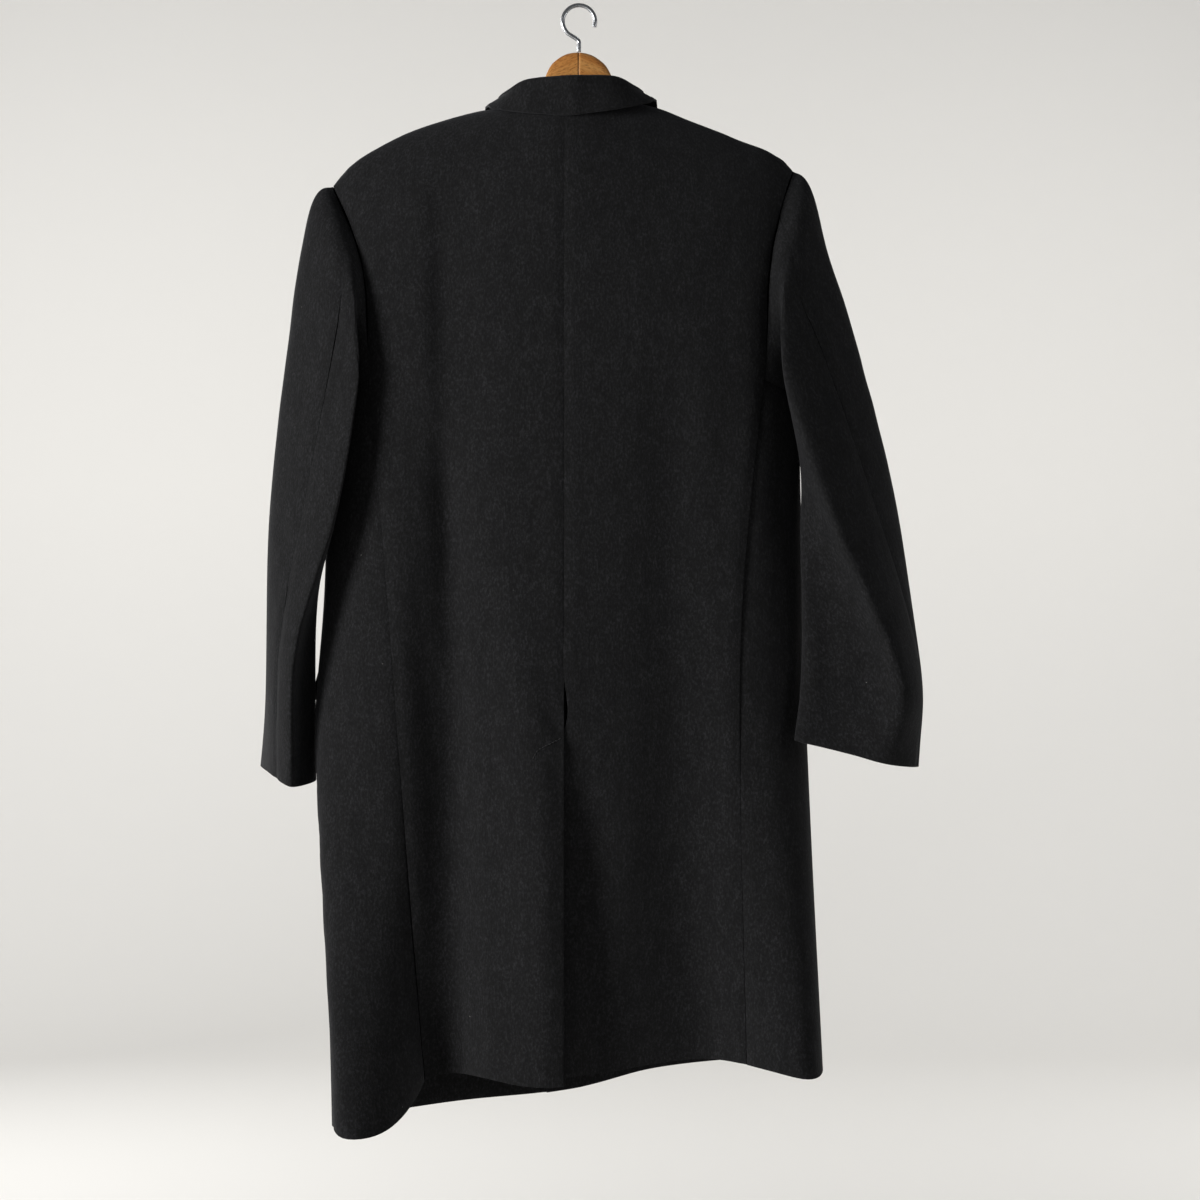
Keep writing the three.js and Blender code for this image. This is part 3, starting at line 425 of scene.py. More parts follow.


# %% [markdown]
# ## Creases
#
# Heavy melton makes few and soft creases. Each is listed as a trough or a ridge along a line, with its
# own width and depth, and moves the cloth forwards or back. Rows give the two ends (across and up, in
# millimetres), then the width, the depth (negative is a trough), how far it bends sideways, and how many
# times wider it is on its right-hand side as seen from behind.

# %% Crease tables
CREASES = {
    "back_left": [
        (142, -230, 134, -660, 21, -11.0, 3, 2.6),
        (136, -520, 119, -1140, 23, -17.0, 4, 1.1),
        (96, -650, 76, -1140, 27, -11.0, 2, 1),
        (182, -560, 166, -1080, 22, 4.0, 3, 1),
        (34, -800, 34, -1110, 20, 4.0, 0, 1),
        (18, -776, 42, -788, 5, -1.8, 0, 1),
        (40, -742, 16, -775, 9, -2.6, 3, 1),
        (60, -700, 36, -768, 14, 1.6, 4, 1),
        (26, -792, 14, -850, 12, -1.4, 2, 1),
        (150, -215, 60, -250, 26, -1.3, 6, 1),
        (190, -260, 120, -330, 22, -1.5, 8, 1),
        (182, -380, 150, -560, 16, -1.8, 6, 1),
        (100, -330, 110, -640, 30, 1.2, 8, 1),
        (30, -420, 26, -660, 34, -1.0, 5, 1),
        (60, -900, 56, -1120, 20, 1.2, 3, 1),
    ],
    "back_right": [
        (-98, -440, -112, -1120, 40, -12.0, 3, 1),
        (-176, -300, -172, -1000, 24, 2.5, 3, 1),
        (-8, -800, -22, -1100, 16, -2.6, 4, 1),
        (-150, -200, -60, -240, 26, -1.2, -6, 1),
        (-190, -250, -120, -330, 24, -1.6, -8, 1),
        (-172, -360, -150, -560, 18, -1.4, -6, 1),
        (-60, -420, -66, -700, 30, -1.0, 4, 1),
        (-110, -480, -112, -760, 32, 1.2, 5, 1),
        (-60, -860, -66, -1090, 22, 1.6, 4, 1),
    ],
    "side_left": [
        (232, -420, 236, -600, 16, -2.0, 5, 1),
        (180, -700, 200, -1000, 24, 1.6, 6, 1),
        (236, -760, 214, -960, 18, -1.6, 5, 1),
    ],
    "side_right": [
        (-214, -420, -210, -640, 16, -2.0, 5, 1),
        (-200, -740, -204, -980, 20, 1.4, 5, 1),
    ],
    "sleeve_left_top": [
        (292, -330, 300, -470, 16, -1.6, 6, 1),
        (318, -560, 300, -610, 14, -2.2, 4, 1),
    ],
    "sleeve_left_under": [
        (250, -330, 262, -480, 14, -1.8, 5, 1),
        (280, -590, 304, -640, 12, -2.0, 3, 1),
    ],
    "sleeve_right_top": [
        (-250, -260, -282, -400, 16, -1.6, 6, 1),
        (-330, -560, -300, -620, 16, -2.0, 4, 1),
    ],
    "sleeve_right_under": [
        (-226, -330, -262, -470, 15, -2.2, 6, 1),
        (-300, -560, -262, -600, 14, -3.0, 4, 1),
        (-330, -640, -280, -668, 13, -2.6, 4, 1),
        (-262, -640, -254, -760, 12, -1.8, 3, 1),
    ],
    "front_left": [(150, -330, 60, -420, 24, -1.6, 8, 1), (200, -420, 120, -500, 22, -1.4, 8, 1),
                   (60, -760, 66, -1100, 30, 1.6, 6, 1), (170, -760, 180, -1080, 26, -1.6, 6, 1)],
    "front_right": [(-150, -330, -60, -420, 24, -1.6, -8, 1), (-200, -430, -120, -510, 22, -1.4, -8, 1),
                    (-60, -770, -64, -1090, 30, 1.6, 6, 1), (-160, -770, -170, -1080, 26, -1.6, 6, 1)],
}
print("creases:", sum(len(rows) for rows in CREASES.values()))

# %% [markdown]
# A crease has a round cross-section and fades out past its ends. It gets wider from its upper to its
# lower end, as a fold does that starts at a seam and opens towards the hem.

# %% Crease shape
PAST_END, FADE = 0.35, 0.16    # both as shares of the crease's length
CROSSING = 30 * MM             # how far from the side seams the push turns from forwards to back


def crease_shift(p, rows):
    """How far the cloth is moved outwards at p by its creases, in metres."""
    total = 0.0
    x, z = p.x / MM, p.z / MM
    for x0, z0, x1, z1, width, depth, bend, skew in rows:
        dx, dz = x1 - x0, z1 - z0
        along = ((x - x0) * dx + (z - z0) * dz) / (dx * dx + dz * dz)
        if not -PAST_END < along < 1 + PAST_END:
            continue
        length = math.hypot(dx, dz)
        off = ((x - x0) * dz - (z - z0) * dx) / length - bend * math.sin(math.pi * along)
        inside = min(max(along, 0), 1)
        width_here = width * (0.75 + 0.5 * inside) * (skew if off > 0 else 1)
        fade = math.exp(-((along - inside) / FADE) ** 2)
        swell = math.sin(math.pi * min(max(along * 0.8 + 0.1, 0), 1)) ** 0.6
        total += depth * fade * swell * math.exp(-(off / width_here) ** 2)
    return total * MM


def outwards(p):
    """Away from the middle of the coat, front to back only: the way a soft crease lifts or sinks."""
    return Vector((0, max(-1.0, min(1.0, (p.y - MIDDLE_Y * MM) / CROSSING)), 0))


deepest = min(row[5] for rows in CREASES.values() for row in rows)
print("deepest single crease:", deepest, "mm")

# %% [markdown]
# The lining doesn't reach the edges inside. Hem and cuffs have a turn-up of melton, and the fronts
# have a wide facing of it, so near a free edge the inside is melton again.

# %% Where the melton turns in
TURN_UPS = {"back": 46 * MM, "side": 46 * MM, "front": 84 * MM, "sleeve": 42 * MM}


def turned_in(fine, node, sewn):
    """Inner faces that are within the turn-up's width of an edge that isn't sewn to anything."""
    free = [v for v in fine.verts if v not in sewn and any(f.material_index == RIM for f in v.link_faces)]
    edges = kdtree.KDTree(len(free))
    for place, vert in enumerate(free):
        edges.insert(vert.co, place)
    edges.balance()
    reach = TURN_UPS[node.split("_")[0]]
    inside = [face for face in fine.faces if face.material_index == INSIDE]
    return [face for face in inside if edges.find(face.calc_center_median())[2] < reach]


print("turn-ups:", {part: round(width / MM) for part, width in TURN_UPS.items()}, "mm")

# %% [markdown]
# Cloth is never quite even. A slow, faint waviness is added everywhere, and along every seam the cloth
# draws in a little between stitches, which the eye reads as a sewn seam. An edge that lies against
# another piece is such a seam; hem, cuffs and the front edges lie against nothing and stay free.


# %% Waviness and seams
CLOTH = [
    ("back_left", 3, body_melton, lining), ("back_right", 3, body_melton, lining),
    ("side_left", 2, body_melton, lining), ("side_right", 2, body_melton, lining),
    ("front_left", 2, body_melton, lining), ("front_right", 2, body_melton, lining),
    ("sleeve_left_top", 3, left_sleeve_melton, lining),
    ("sleeve_left_under", 3, left_sleeve_melton, lining),
    ("sleeve_right_top", 3, right_sleeve_melton, lining),
    ("sleeve_right_under", 3, right_sleeve_melton, lining),
    ("lapel_left", 2, body_melton, None), ("lapel_right", 2, body_melton, None),
    ("collar", 2, body_melton, None),
    ("flap_left", 2, body_melton, None), ("flap_right", 2, body_melton, None),
]    # node, rounding levels, melton of the outside, cloth of the inside


def waviness(p):
    """Waves of about 110 mm and of about 30 mm, longer up and down than across."""
    broad = noise.noise(Vector((p.x * 9, p.y * 9, p.z * 5)))
    small = noise.noise(Vector((p.x * 34, p.y * 34 + 7, p.z * 20)))
    return (0.9 * broad + 0.28 * small) * MM


DRAW_IN = {"depth": 1.3 * MM, "reach": 6 * MM, "pucker": 0.55}
SEWN_WITHIN = 1.4 * MM     # an edge this close to another piece is sewn to it


def sewn_verts(fine, node):
    """The vertices of the rim that lie against the edge of another piece."""
    others = []
    for solid in (bpy.data.objects[row[0]].data for row in CLOTH if row[0] != node):
        faces = [face.vertices[:] for face in solid.polygons]
        others.append(BVHTree.FromPolygons([vert.co for vert in solid.vertices], faces))
    sewn = set()
    for vert in fine.verts:
        if any(face.material_index == RIM for face in vert.link_faces):
            if any(tree.find_nearest(vert.co, SEWN_WITHIN)[0] is not None for tree in others):
                sewn.add(vert)
    return sewn


def draw_in(fine, sewn):
    """Sinks the cloth towards the inside of the coat along its seams, more in some places."""
    edge_places = [vert for vert in sewn if any(face.material_index != RIM for face in vert.link_faces)]
    inwards = {}
    for vert in fine.verts:
        way = Vector()
        for face in vert.link_faces:
            if face.material_index != RIM:
                way += face.normal * (1 if face.material_index == INSIDE else -1)
        inwards[vert] = way
    seams = kdtree.KDTree(len(edge_places))
    for place, vert in enumerate(edge_places):
        seams.insert(vert.co, place)
    seams.balance()
    shifts = {}
    for vert in fine.verts:
        _, nearest, far = seams.find(vert.co)
        if nearest is not None and far < 3 * DRAW_IN["reach"]:
            way = inwards[vert] if inwards[vert].length > 0 else inwards[edge_places[nearest]]
            waves = noise.noise(vert.co * 38) + 0.6 * noise.noise(vert.co * 95)
            depth = DRAW_IN["depth"] * (1 + DRAW_IN["pucker"] * waves)
            shifts[vert] = way.normalized() * depth * math.exp(-(far / DRAW_IN["reach"]) ** 2)
    for vert, shift in shifts.items():
        vert.co += shift


print("pieces of cloth:", len(CLOTH))

# %% [markdown]
# Two things are put right. The ends of a collar are sewn down and settle into the cloth of the shoulders.
# And where a crease and a seam meet, the two sheets of a piece can pass through each other, which cloth
# never does.

# %% Collar ends and tight folds
COLLAR_MIDDLE, COLLAR_SETTLES = 8.5, 4.5 * MM
COLLAR_FROM, COLLAR_OVER = 72, 24                # millimetres from the collar's middle
TIGHT, THINNEST, PUT_BACK = 6 * MM, 0.8 * MM, 1.6


def settle_collar(fine):
    for vert in fine.verts:
        past = min(max((abs(vert.co.x / MM - COLLAR_MIDDLE) - COLLAR_FROM) / COLLAR_OVER, 0), 1)
        vert.co.z -= COLLAR_SETTLES * past * past * (3 - 2 * past)


def keep_inside(fine):
    """Where the cloth folds tightly, its inside would come out through its outside; it is put back."""
    outside = [face for face in fine.faces if face.material_index == OUTSIDE]
    skin = BVHTree.FromPolygons([vert.co for vert in fine.verts],
                                [[vert.index for vert in face.verts] for face in outside])
    moved = 0
    for vert in fine.verts:
        if {face.material_index for face in vert.link_faces} == {INSIDE}:
            spot, normal, _, far = skin.find_nearest(vert.co)
            if far < TIGHT and (vert.co - spot).dot(normal) > -THINNEST:
                vert.co = spot - normal * PUT_BACK * MM
                moved += 1
    return moved


print("collar ends settle by", round(COLLAR_SETTLES / MM, 1), "mm")

# %% [markdown]
# Seen close, a cut edge of melton is soft, and a seam is a groove between two rounded lips, dark with
# shade. So the sharp edges are creased before the rounding, each sewn edge is eased out to meet its
# neighbour, as sewing draws the two together, and the edges are bevelled at the end. The faces in each
# groove get a near-black painted shade.

# %% Edges
SEAM_CLOSE = 0.25 * MM
EDGE_ROUND = 1.05 * MM
GROOVE = 1.3 * MM    # a bevelled face this near to a seam lies in its groove


def crease_edges(coarse):
    crease = coarse.edges.layers.float.new("crease_edge")
    corner = coarse.verts.layers.float.new("crease_vert")
    for side in coarse.edges:
        meets = {face.material_index for face in side.link_faces}
        if len(meets) > 1 or (meets == {RIM} and side.calc_face_angle(0) > SHARP):
            side[crease] = 1.0
    for vert in coarse.verts:
        if sum(side[crease] > 0.5 for side in vert.link_edges) > 2:
            vert[corner] = 1.0


def close_seams(fine, sewn):
    rim_push = {}
    for face in fine.faces:
        if face.material_index == RIM:
            for vert in face.verts:
                rim_push[vert] = rim_push.get(vert, Vector()) + face.normal
    for vert, push in rim_push.items():
        if vert in sewn:
            vert.co += push.normalized() * SEAM_CLOSE
    # A rim face between two sewn edges lies in the seam's groove and will get the painted seam shade.
    for face in fine.faces:
        if face.material_index == RIM and all(vert in sewn for vert in face.verts):
            face.material_index = SEAM


def soften_edges(fine, sewn):
    rim_edges = [e for e in fine.edges if len({face.material_index for face in e.link_faces}) > 1]
    seams = kdtree.KDTree(len(sewn))
    for place, vert in enumerate(sewn):
        seams.insert(vert.co, place)
    seams.balance()
    softened = bmesh.ops.bevel(fine, geom=rim_edges, offset=EDGE_ROUND, offset_type="OFFSET",
                               affect="EDGES", segments=2, profile=0.5, material=-1,
                               clamp_overlap=True)["faces"]
    # Bevelled faces near a seam lie in its groove and get the painted seam shade.
    for face in softened:
        if min(seams.find(vert.co)[2] for vert in face.verts) < GROOVE:
            face.material_index = SEAM


print("edges rounded over", round(EDGE_ROUND / MM, 2), "mm")

# %% [markdown]
# Now every piece is dressed in the same order: rounded, creased, drawn in at its seams, closed and
# softened. At the end its faces get their three finishes: melton outside, lining inside, and a near-black
# painted shade in the grooves of the seams.

# %% Dress every piece of cloth
WALL = 2.6                                                      # millimetres
WALLS = {"flap_left": 3.2, "flap_right": 3.2, "collar": 3.0}    # where the cloth is thicker
# The third slot holds the near-black painted shade of the seam grooves.
MELTON_SLOT, LINING_SLOT, SEAM_SHADE_SLOT = range(3)


def cloth_piece(node, levels, outer_material, inner_material):
    coarse = quads_of(node)
    mark_sheets(node, coarse, WALLS.get(node, WALL) * MM)
    crease_edges(coarse)
    fine = rounded(coarse, node, levels)
    sewn = sewn_verts(fine, node)
    if node == "collar":
        settle_collar(fine)
    rows = CREASES.get(node, [])
    for vert in fine.verts:
        vert.co += outwards(vert.co) * (crease_shift(vert.co, rows) + waviness(vert.co))
    fine.normal_update()
    draw_in(fine, sewn)
    fine.verts.index_update()
    put_back = keep_inside(fine)
    close_seams(fine, sewn)
    if inner_material:
        for face in turned_in(fine, node, sewn):
            face.material_index = TURNED
    soften_edges(fine, sewn)
    outer_area = sum(face.calc_area() for face in fine.faces if face.material_index == OUTSIDE)
    inner_area = sum(face.calc_area() for face in fine.faces if face.material_index in (INSIDE, TURNED))
    # Seam faces get the painted shade of the groove instead of melton.
    finish = {SEAM: SEAM_SHADE_SLOT, INSIDE: LINING_SLOT if inner_material else MELTON_SLOT}
    for face in fine.faces:
        face.material_index = finish.get(face.material_index, MELTON_SLOT)
        face.smooth = True
    mesh = bpy.data.meshes.new(node + "_cloth")
    fine.to_mesh(mesh)
    fine.free()
    mesh.materials.append(outer_material)
    mesh.materials.append(inner_material or outer_material)
    mesh.materials.append(painted_seam_shade)
    piece = bpy.data.objects.new(node + "_cloth", mesh)
    scene.collection.objects.link(piece)
    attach(piece, "root")
    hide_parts(node)
    print(node, "outer", round(outer_area, 4), "inner", round(inner_area, 4),
          "faces", len(mesh.polygons), "put back", put_back)
    return piece


cloth = {row[0]: cloth_piece(*row) for row in CLOTH}

# %% [markdown]
# ## Sewing that shows
#
# Silk thread shows in three places. A slanting row of backstitches holds the two layers together above
# the vent. Each buttonhole is worked with purl stitches round its slit and ends in a bar. A fourth
# buttonhole, without a button, is worked on the left lapel. Silk is smoother than wool, so each stitch
# has a small highlight. The twist of the thread is real, and its lighter diagonal bands are painted
# highlight on the ridges of the twist.

# %% Silk thread
silk_thread, tree = new_material("black_silk_thread")
place = add(tree, "ShaderNodeTexCoord").outputs["Object"]
twist = add(tree, "ShaderNodeTexWave", {"bands_direction": "DIAGONAL"}, {"Vector": place, "Scale": 900.0})
# Painted highlight: the twist of the thread as diagonal bands, lighter where light would catch its
# ridges.
painted_twist_highlights = ramp(tree, twist.outputs["Fac"], [(0.2, "#0c0c0d"), (0.8, "#2a2a2c")])
silk = add(tree, "ShaderNodeBsdfPrincipled", sockets={
    "Base Color": painted_twist_highlights.outputs["Color"], "Roughness": 0.5, "IOR": 1.55, "Sheen Weight": 0.2})
finish_material(tree, silk)
print("thread:", silk_thread.name)

# %% [markdown]
# Every stitch is a short bent bar of thread that dips into the cloth at both ends. A ray that is sent
# at the cloth from its outside finds where a stitch starts and ends and which way the cloth faces
# there.

# %% One stitch
random.seed(7)
BACK, FRONT = 1, -1              # which side of the coat is looked at
FAR_OFF = 400                    # millimetres: a ray starts well outside the cloth
SMOOTH_UP_TO = math.radians(50)
CORNERS = 6
STITCH = ((0, -0.6, 0.7), (0.25, 0.55, 1), (0.75, 0.55, 1), (1, -0.6, 0.7))
# Rows of STITCH: share of its length, height and width there, both in thicknesses of the thread.


def mesh_object(name, shape, material):
    for face in shape.faces:
        face.smooth = True
    mesh = bpy.data.meshes.new(name)
    shape.to_mesh(mesh)
    shape.free()
    mesh.materials.append(material)
    mesh.set_sharp_from_angle(angle=SMOOTH_UP_TO)
    piece = bpy.data.objects.new(name, mesh)
    scene.collection.objects.link(piece)
    return piece


def surface_finder(piece):
    shape = bmesh.new()
    shape.from_mesh(piece.data)
    tree = BVHTree.FromBMesh(shape)
    shape.free()

    def find(x, z, facing):
        """The cloth's surface and its normal at x and z, looking at it against the way it faces."""
        spot, normal, _, _ = tree.ray_cast(Vector((x, facing * FAR_OFF, z)) * MM, Vector((0, -facing, 0)))
        return spot, normal if normal.y * facing > 0 else -normal
    return find


def sew(shape, start, end, normal, thick):
    """One stitch from start to end over the surface, six-sided, highest in its middle."""
    along = end - start
    side = along.cross(normal).normalized()
    rings = []
    for share, lift, size in STITCH:
        middle = start + along * share + normal * thick * lift
        ring = []
        for corner in range(CORNERS):
            turn = math.radians(360 / CORNERS * corner)
            ring.append(shape.verts.new(
                middle + (side * math.cos(turn) + normal * math.sin(turn)) * thick * size * 0.5))
        rings.append(ring)
    for low, high in zip(rings, rings[1:]):
        for corner in range(CORNERS):
            after = (corner + 1) % CORNERS
            shape.faces.new((low[corner], low[after], high[after], high[corner]))
    shape.faces.new(rings[0][::-1])
    shape.faces.new(rings[-1])


def finish_threads(name, shape):
    threads = mesh_object(name, shape, silk_thread)
    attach(threads, "root")
    print(name, "faces", len(threads.data.polygons))


print("faces in a stitch:", CORNERS * (len(STITCH) - 1) + 2)

# %% [markdown]
# The stay stitch is a row of backstitches with small gaps. It slants down from the top of the vent and
# turns near its end, as a tailor's hand stitch does. It is sewn thicker than a real one, so that it
# shows.


# %% Stay stitch of the vent
def sewn_line(name, piece, path, length, gap, thick):
    """Backstitches on the back of the coat, along a path of (across, up) points in millimetres."""
    find = surface_finder(piece)
    shape = bmesh.new()
    for (x0, z0), (x1, z1) in zip(path, path[1:]):
        whole = math.hypot(x1 - x0, z1 - z0)
        for step in range(int(whole / (length + gap))):
            share = step * (length + gap) / whole
            reach = share + length / whole
            start, normal = find(x0 + (x1 - x0) * share, z0 + (z1 - z0) * share, BACK)
            end, _ = find(x0 + (x1 - x0) * reach, z0 + (z1 - z0) * reach, BACK)
            sew(shape, start, end, normal, thick * MM)
    finish_threads(name, shape)


VENT_STAY = [(17.7, -775.4), (41.5, -786.8), (47.7, -798)]
sewn_line("vent_stay_stitch", cloth["back_left"], VENT_STAY, length=3.0, gap=0.7, thick=0.9)

# %% [markdown]
# A tailor works a buttonhole by hand: the slit is edged with purl stitches that lie side by side, they
# fan out round the end where the button's shank sits, and a short bar closes the other end. A little
# unevenness keeps the stitches from looking machined.

# %% Buttonholes
HOLE_LENGTH, LIP, PITCH = 22.0, 2.1, 0.8    # millimetres, as are the next five
PURL_THICK, SLIT, UNEVEN = 0.75, 0.25, 0.12
FAN_STITCHES, FAN_BACK, FAN_NEAR, FAN_FAR = 9, -0.2, 0.3, 2.2
BAR_STITCHES, BAR_PITCH = 5, 0.6


def buttonhole(name, piece, x, z, slope):
    """A buttonhole on the front of the coat: lips along a slit, a fan round its outer end, and a bar."""
    find = surface_finder(piece)
    shape = bmesh.new()
    across, up = math.cos(slope), math.sin(slope)

    def stitch(u, v, u_far, v_far):
        start, normal = find(x + u * across - v * up, z + u * up + v * across, FRONT)
        end, _ = find(x + u_far * across - v_far * up, z + u_far * up + v_far * across, FRONT)
        sew(shape, start, end, normal, PURL_THICK * MM)

    for step in range(int(HOLE_LENGTH / PITCH)):
        u = step * PITCH
        for way in (-1, 1):
            uneven = random.uniform(-UNEVEN, UNEVEN)
            stitch(u, way * SLIT, u + uneven, way * (LIP + uneven))
    for step in range(FAN_STITCHES):
        turn = math.radians(-90 + 180 / (FAN_STITCHES - 1) * step)
        stitch(FAN_BACK - FAN_NEAR * math.cos(turn), FAN_NEAR * math.sin(turn),
               FAN_BACK - FAN_FAR * math.cos(turn), FAN_FAR * math.sin(turn))
    for step in range(BAR_STITCHES):
        u = HOLE_LENGTH + step * BAR_PITCH
        stitch(u, -LIP, u, LIP)
    finish_threads(name, shape)


LAPEL_HOLE = (84, -236, -0.35)    # across, up, slope: near the lapel's outer edge, square to it
buttonhole("lapel_buttonhole", cloth["lapel_left"], *LAPEL_HOLE)

# %% [markdown]
# ## Cut sizes
#
# A sheet of cloth keeps its area when it is hung, so each piece says what it was cut to: the width and
# length of the rectangle that it was cut from, and its own area, with the seam allowances left out. As
# each piece is dressed, the areas of its outside and its inside are printed.

# %% [markdown]
# ## Wood and wire of the hanger
#
# The hanger is turned and carved from beech in two halves, glued at the middle, and finished with a
# clear satin lacquer. Its grain runs along the arms. Lacquer has an IOR of about 1.5 and fills the
# pores, so the gloss is even while the colour still changes along the fibres.


# %% Beech
YEAR_RINGS = (70, 9, 5)      # millimetres: along the arm, through it, up
PORES = (5, 0.5, 0.5)


def beech(name, lean_degrees):
    material, tree = new_material(name)
    place = add(tree, "ShaderNodeTexCoord").outputs["Object"]
    along = add(tree, "ShaderNodeMapping", {"vector_type": "TEXTURE"},
                {"Vector": place, "Rotation": (0, math.radians(lean_degrees), 0)}).outputs["Vector"]
    rings = add(tree, "ShaderNodeMapping", sockets={
        "Vector": along, "Scale": [1 / size for size in YEAR_RINGS]})
    band = add(tree, "ShaderNodeTexNoise", sockets={
        "Vector": rings.outputs["Vector"], "Scale": PER_MM, "Detail": 4.0, "Distortion": 0.4})
    pores = add(tree, "ShaderNodeMapping", sockets={
        "Vector": along, "Scale": [1 / size for size in PORES]})
    fleck = add(tree, "ShaderNodeTexNoise", sockets={"Vector": pores.outputs["Vector"], "Scale": PER_MM})
    tone = ramp(tree, band.outputs["Fac"], [(0.3, "#c9803a"), (0.5, "#de9a50"), (0.7, "#eab067")])
    dots = ramp(tree, fleck.outputs["Fac"], [(0.34, "#b48f74"), (0.46, "#ffffff")])
    wood = add(tree, "ShaderNodeMix", {"data_type": "RGBA", "blend_type": "MULTIPLY"}, {
        "Factor": 1.0, MIX_A: tone.outputs["Color"], MIX_B: dots.outputs["Color"]})
    bump = add(tree, "ShaderNodeBump", sockets={
        "Strength": 0.2, "Distance": 0.0002, "Height": band.outputs["Fac"]})
    shader = add(tree, "ShaderNodeBsdfPrincipled", sockets={
        "Base Color": wood.outputs[MIXED], "Roughness": 0.42, "IOR": 1.5, "Coat Weight": 0.25,
        "Coat Roughness": 0.25, "Normal": bump.outputs["Normal"]})
    finish_material(tree, shader)
    return material


beech_left = beech("lacquered_beech_left", 24)
beech_right = beech("lacquered_beech_right", -24)
print("year rings:", YEAR_RINGS, "mm")

# %% [markdown]
# The hook is steel wire that was pulled through a die. The die leaves faint lines, so the metal shines
# unevenly. The buttons are cast from resin in the colours of horn and polished: dark, cloudy and
# smooth.

# %% Steel and horn
drawn_steel, tree = new_material("drawn_steel_wire")
place = add(tree, "ShaderNodeTexCoord").outputs["Object"]
die_lines = add(tree, "ShaderNodeTexNoise", sockets={"Vector": place, "Scale": 900.0, "Detail": 2.0})
dulled = add(tree, "ShaderNodeMapRange", sockets={
    "Value": die_lines.outputs["Fac"], "To Min": 0.2, "To Max": 0.36})
steel = add(tree, "ShaderNodeBsdfPrincipled", sockets={
    "Base Color": colour("#c9cbce"), "Metallic": 1.0, "Roughness": dulled.outputs["Result"]})
finish_material(tree, steel)

horn_resin, tree = new_material("polished_horn_resin")
place = add(tree, "ShaderNodeTexCoord").outputs["Object"]
cloud = add(tree, "ShaderNodeTexNoise", sockets={"Vector": place, "Scale": 160.0, "Detail": 3.0})
horn_shade = ramp(tree, cloud.outputs["Fac"], [(0.35, "#120f0d"), (0.6, "#231c18"), (0.75, "#3a3029")])
horn = add(tree, "ShaderNodeBsdfPrincipled", sockets={
    "Base Color": horn_shade.outputs["Color"], "Roughness": 0.3, "IOR": 1.54})
finish_material(tree, horn)
print("materials:", [material.name for material in bpy.data.materials])

# %% [markdown]
# The hanger's halves and its hook keep the frame's form and are only rounded. Their end faces stay
# sharp, so the glue line between the halves shows as the fine dark line that it is.


# %% Hanger
END_EDGE, END_CREASE = math.radians(62), 0.9
HARD_LEVELS = 2


def hard_piece(node, material):
    coarse = quads_of(node)
    crease = coarse.edges.layers.float.new("crease_edge")
    for side in coarse.edges:
        if side.calc_face_angle(0) > END_EDGE:
            side[crease] = END_CREASE
    fine = rounded(coarse, node, HARD_LEVELS)
    for face in fine.faces:
        face.smooth = True
    mesh = bpy.data.meshes.new(node + "_finish")
    fine.to_mesh(mesh)
    fine.free()
    mesh.materials.append(material)
    mesh.set_sharp_from_angle(angle=SMOOTH_UP_TO)
    piece = bpy.data.objects.new(node + "_finish", mesh)
    scene.collection.objects.link(piece)
    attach(piece, "root")
    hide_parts(node)
    print(node, "faces", len(mesh.polygons))


hard_piece("hanger_left", beech_left)
hard_piece("hanger_right", beech_right)
hard_piece("hook", drawn_steel)

# %% [markdown]
# ## Buttons
#
# A coat button is turned from a disc: a raised rim, a dished middle and four holes. The disc is a spun
# profile, and the holes are bored with a Boolean, as a drill would bore them.

# %% Turned disc
HOLE_AT, HOLE = 3.3 * MM, 1.15 * MM
DRILL_LENGTH, DRILL_MIDDLE = 12 * MM, 2 * MM
DISC_STEPS = 48
PROFILE = [(0, 0), (12.4, 0), (13.6, 0.6), (14, 1.6), (14, 2.8), (13.5, 3.8), (12.4, 4.2), (11, 4.0),
           (9.8, 3.3), (8.6, 3.0), (0, 3.0)]    # radius and height, in millimetres


def turned_button(name):
    shape = bmesh.new()
    ring = [shape.verts.new((r * MM, 0, h * MM)) for r, h in PROFILE]
    sides = [shape.edges.new(pair) for pair in zip(ring, ring[1:])]
    bmesh.ops.spin(shape, geom=ring + sides, cent=(0, 0, 0), axis=(0, 0, 1), angle=math.radians(360),
                   steps=DISC_STEPS, use_merge=True)
    bmesh.ops.remove_doubles(shape, verts=shape.verts, dist=0.001 * MM)
    bmesh.ops.recalc_face_normals(shape, faces=shape.faces)
    disc = mesh_object(name, shape, horn_resin)
    drill = bmesh.new()
    for quarter in range(4):
        turn = math.radians(45 + 90 * quarter)
        spot = Matrix.Translation((HOLE_AT * math.cos(turn), HOLE_AT * math.sin(turn), DRILL_MIDDLE))
        bmesh.ops.create_cone(drill, cap_ends=True, segments=16, radius1=HOLE, radius2=HOLE,
                              depth=DRILL_LENGTH, matrix=spot)
    bit = mesh_object("drill", drill, horn_resin)
    bore = disc.modifiers.new("bore", "BOOLEAN")
    bore.operation, bore.object, bore.solver = "DIFFERENCE", bit, "EXACT"
    graph = bpy.context.evaluated_depsgraph_get()
    disc_mesh = bpy.data.meshes.new_from_object(disc.evaluated_get(graph))
    disc.modifiers.clear()
    disc.data = disc_mesh
    bpy.data.objects.remove(bit)
    return disc


print("button:", 2 * max(radius for radius, _ in PROFILE), "mm across")

# %% [markdown]
# A button is sewn on with thread that goes up through one hole and down through the next, three times
# beside each other. Each strand is a small circle that is spun half a turn from hole to hole and then
# pressed flat, as tight thread lies.

# %% Button thread
THREAD_HEIGHT, THREAD_RADIUS = 2.6 * MM, 0.28 * MM
STRANDS = (-0.45, 0, 0.45)
FLATTENED = 0.32


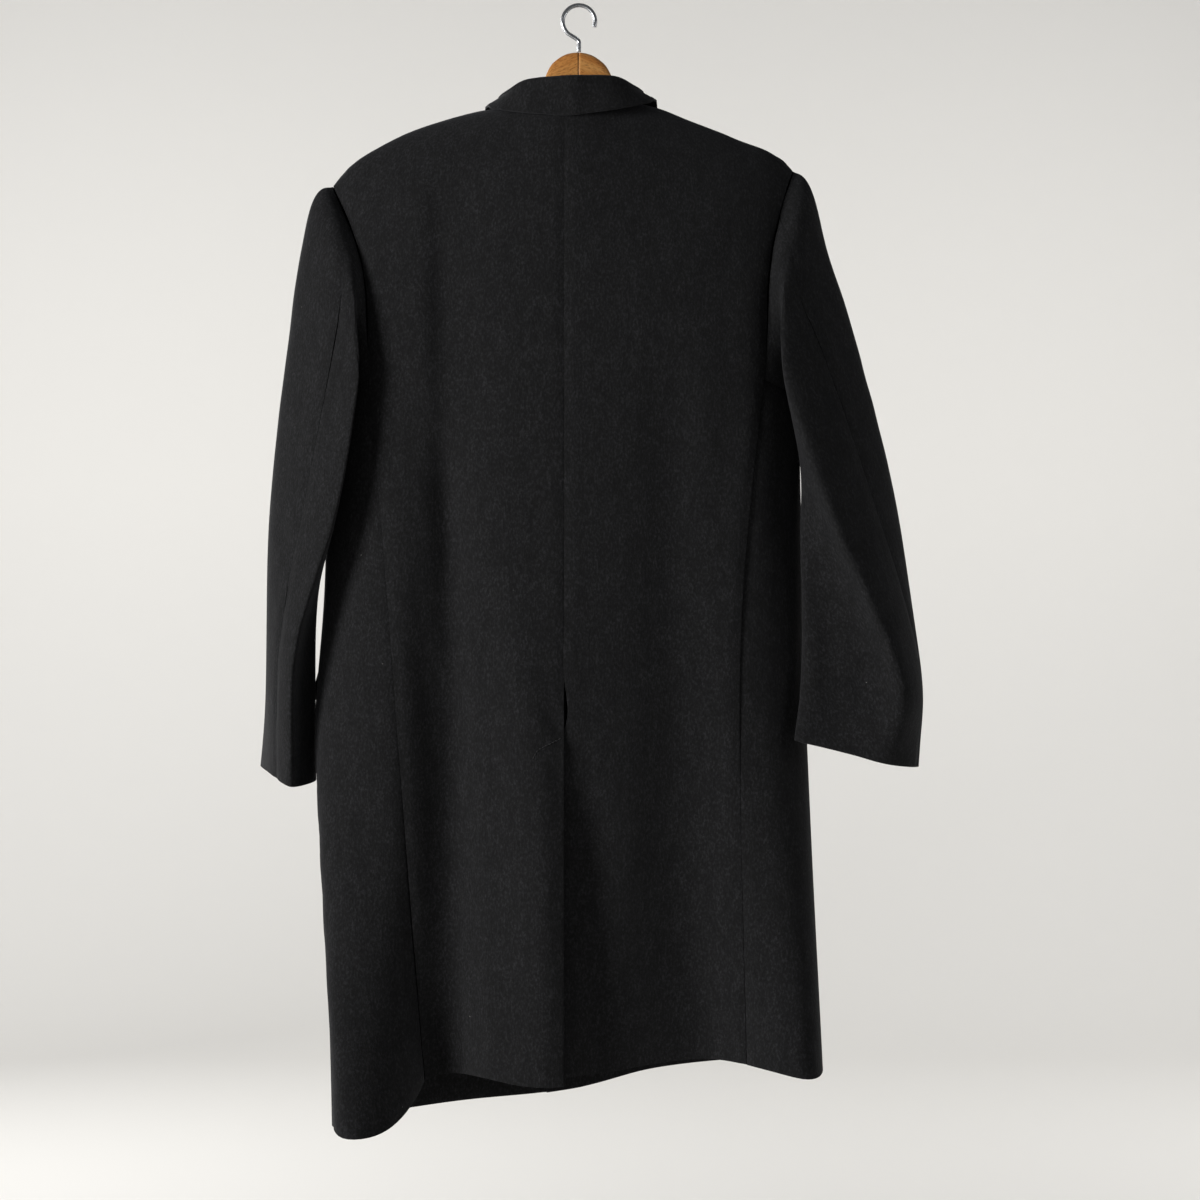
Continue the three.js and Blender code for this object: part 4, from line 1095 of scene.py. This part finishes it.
def button_thread(name):
    shape = bmesh.new()
    reach = HOLE_AT * math.sin(math.radians(45))
    for side in (-1, 1):
        for strand in STRANDS:
            spot = Matrix.Translation((-reach, side * reach + strand * MM, THREAD_HEIGHT))
            loop = bmesh.ops.create_circle(shape, cap_ends=False, segments=8, radius=THREAD_RADIUS,
                                           matrix=spot)["verts"]
            rims = list({edge for vert in loop for edge in vert.link_edges})
            bmesh.ops.spin(shape, geom=loop + rims, cent=(0, 0, THREAD_HEIGHT), axis=(0, 1, 0),
                           angle=math.radians(180), steps=10, use_merge=False)
    bmesh.ops.scale(shape, vec=(1, 1, FLATTENED), verts=shape.verts,
                    space=Matrix.Translation((0, 0, -THREAD_HEIGHT)))
    bmesh.ops.recalc_face_normals(shape, faces=shape.faces)
    return mesh_object(name, shape, silk_thread)


print("strands to a button:", 2 * len(STRANDS))

# %% [markdown]
# Each button lies on the front and faces the way that the cloth faces there. Its place and its tilt
# are read from its own solid. Its buttonhole is worked into the left front beside it.

# %% Sew the buttons on
HOLE_BESIDE = 11    # millimetres from the button's middle to where its buttonhole starts


def seat_of(node):
    """Where a button lies and which way it faces, from its own solid."""
    mesh = bpy.data.objects[node].data
    whole = sum(p.area for p in mesh.polygons)
    centre = sum((p.center * p.area for p in mesh.polygons), Vector()) / whole
    facing = sum((p.normal * p.area for p in mesh.polygons if p.normal.y < -0.8), Vector()).normalized()
    back = min(facing.dot(v.co) for v in mesh.vertices)
    spot = centre + facing * (back - facing.dot(centre))
    turn = facing.to_track_quat("Z", "Y").to_matrix().to_4x4()
    return Matrix.Translation(spot) @ turn


for number in (1, 2, 3):
    node = f"button_{number}"
    seat = seat_of(node)
    disc, threads = turned_button(node + "_disc"), button_thread(node + "_thread")
    for piece in (disc, threads):
        piece.data.transform(seat)
        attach(piece, "root")
    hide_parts(node)
    across, up = seat.translation.x / MM, seat.translation.z / MM
    buttonhole(f"buttonhole_{number}", cloth["front_left"], across + HOLE_BESIDE, up, 0)
    print(node, [round(v, 4) for v in seat.translation])
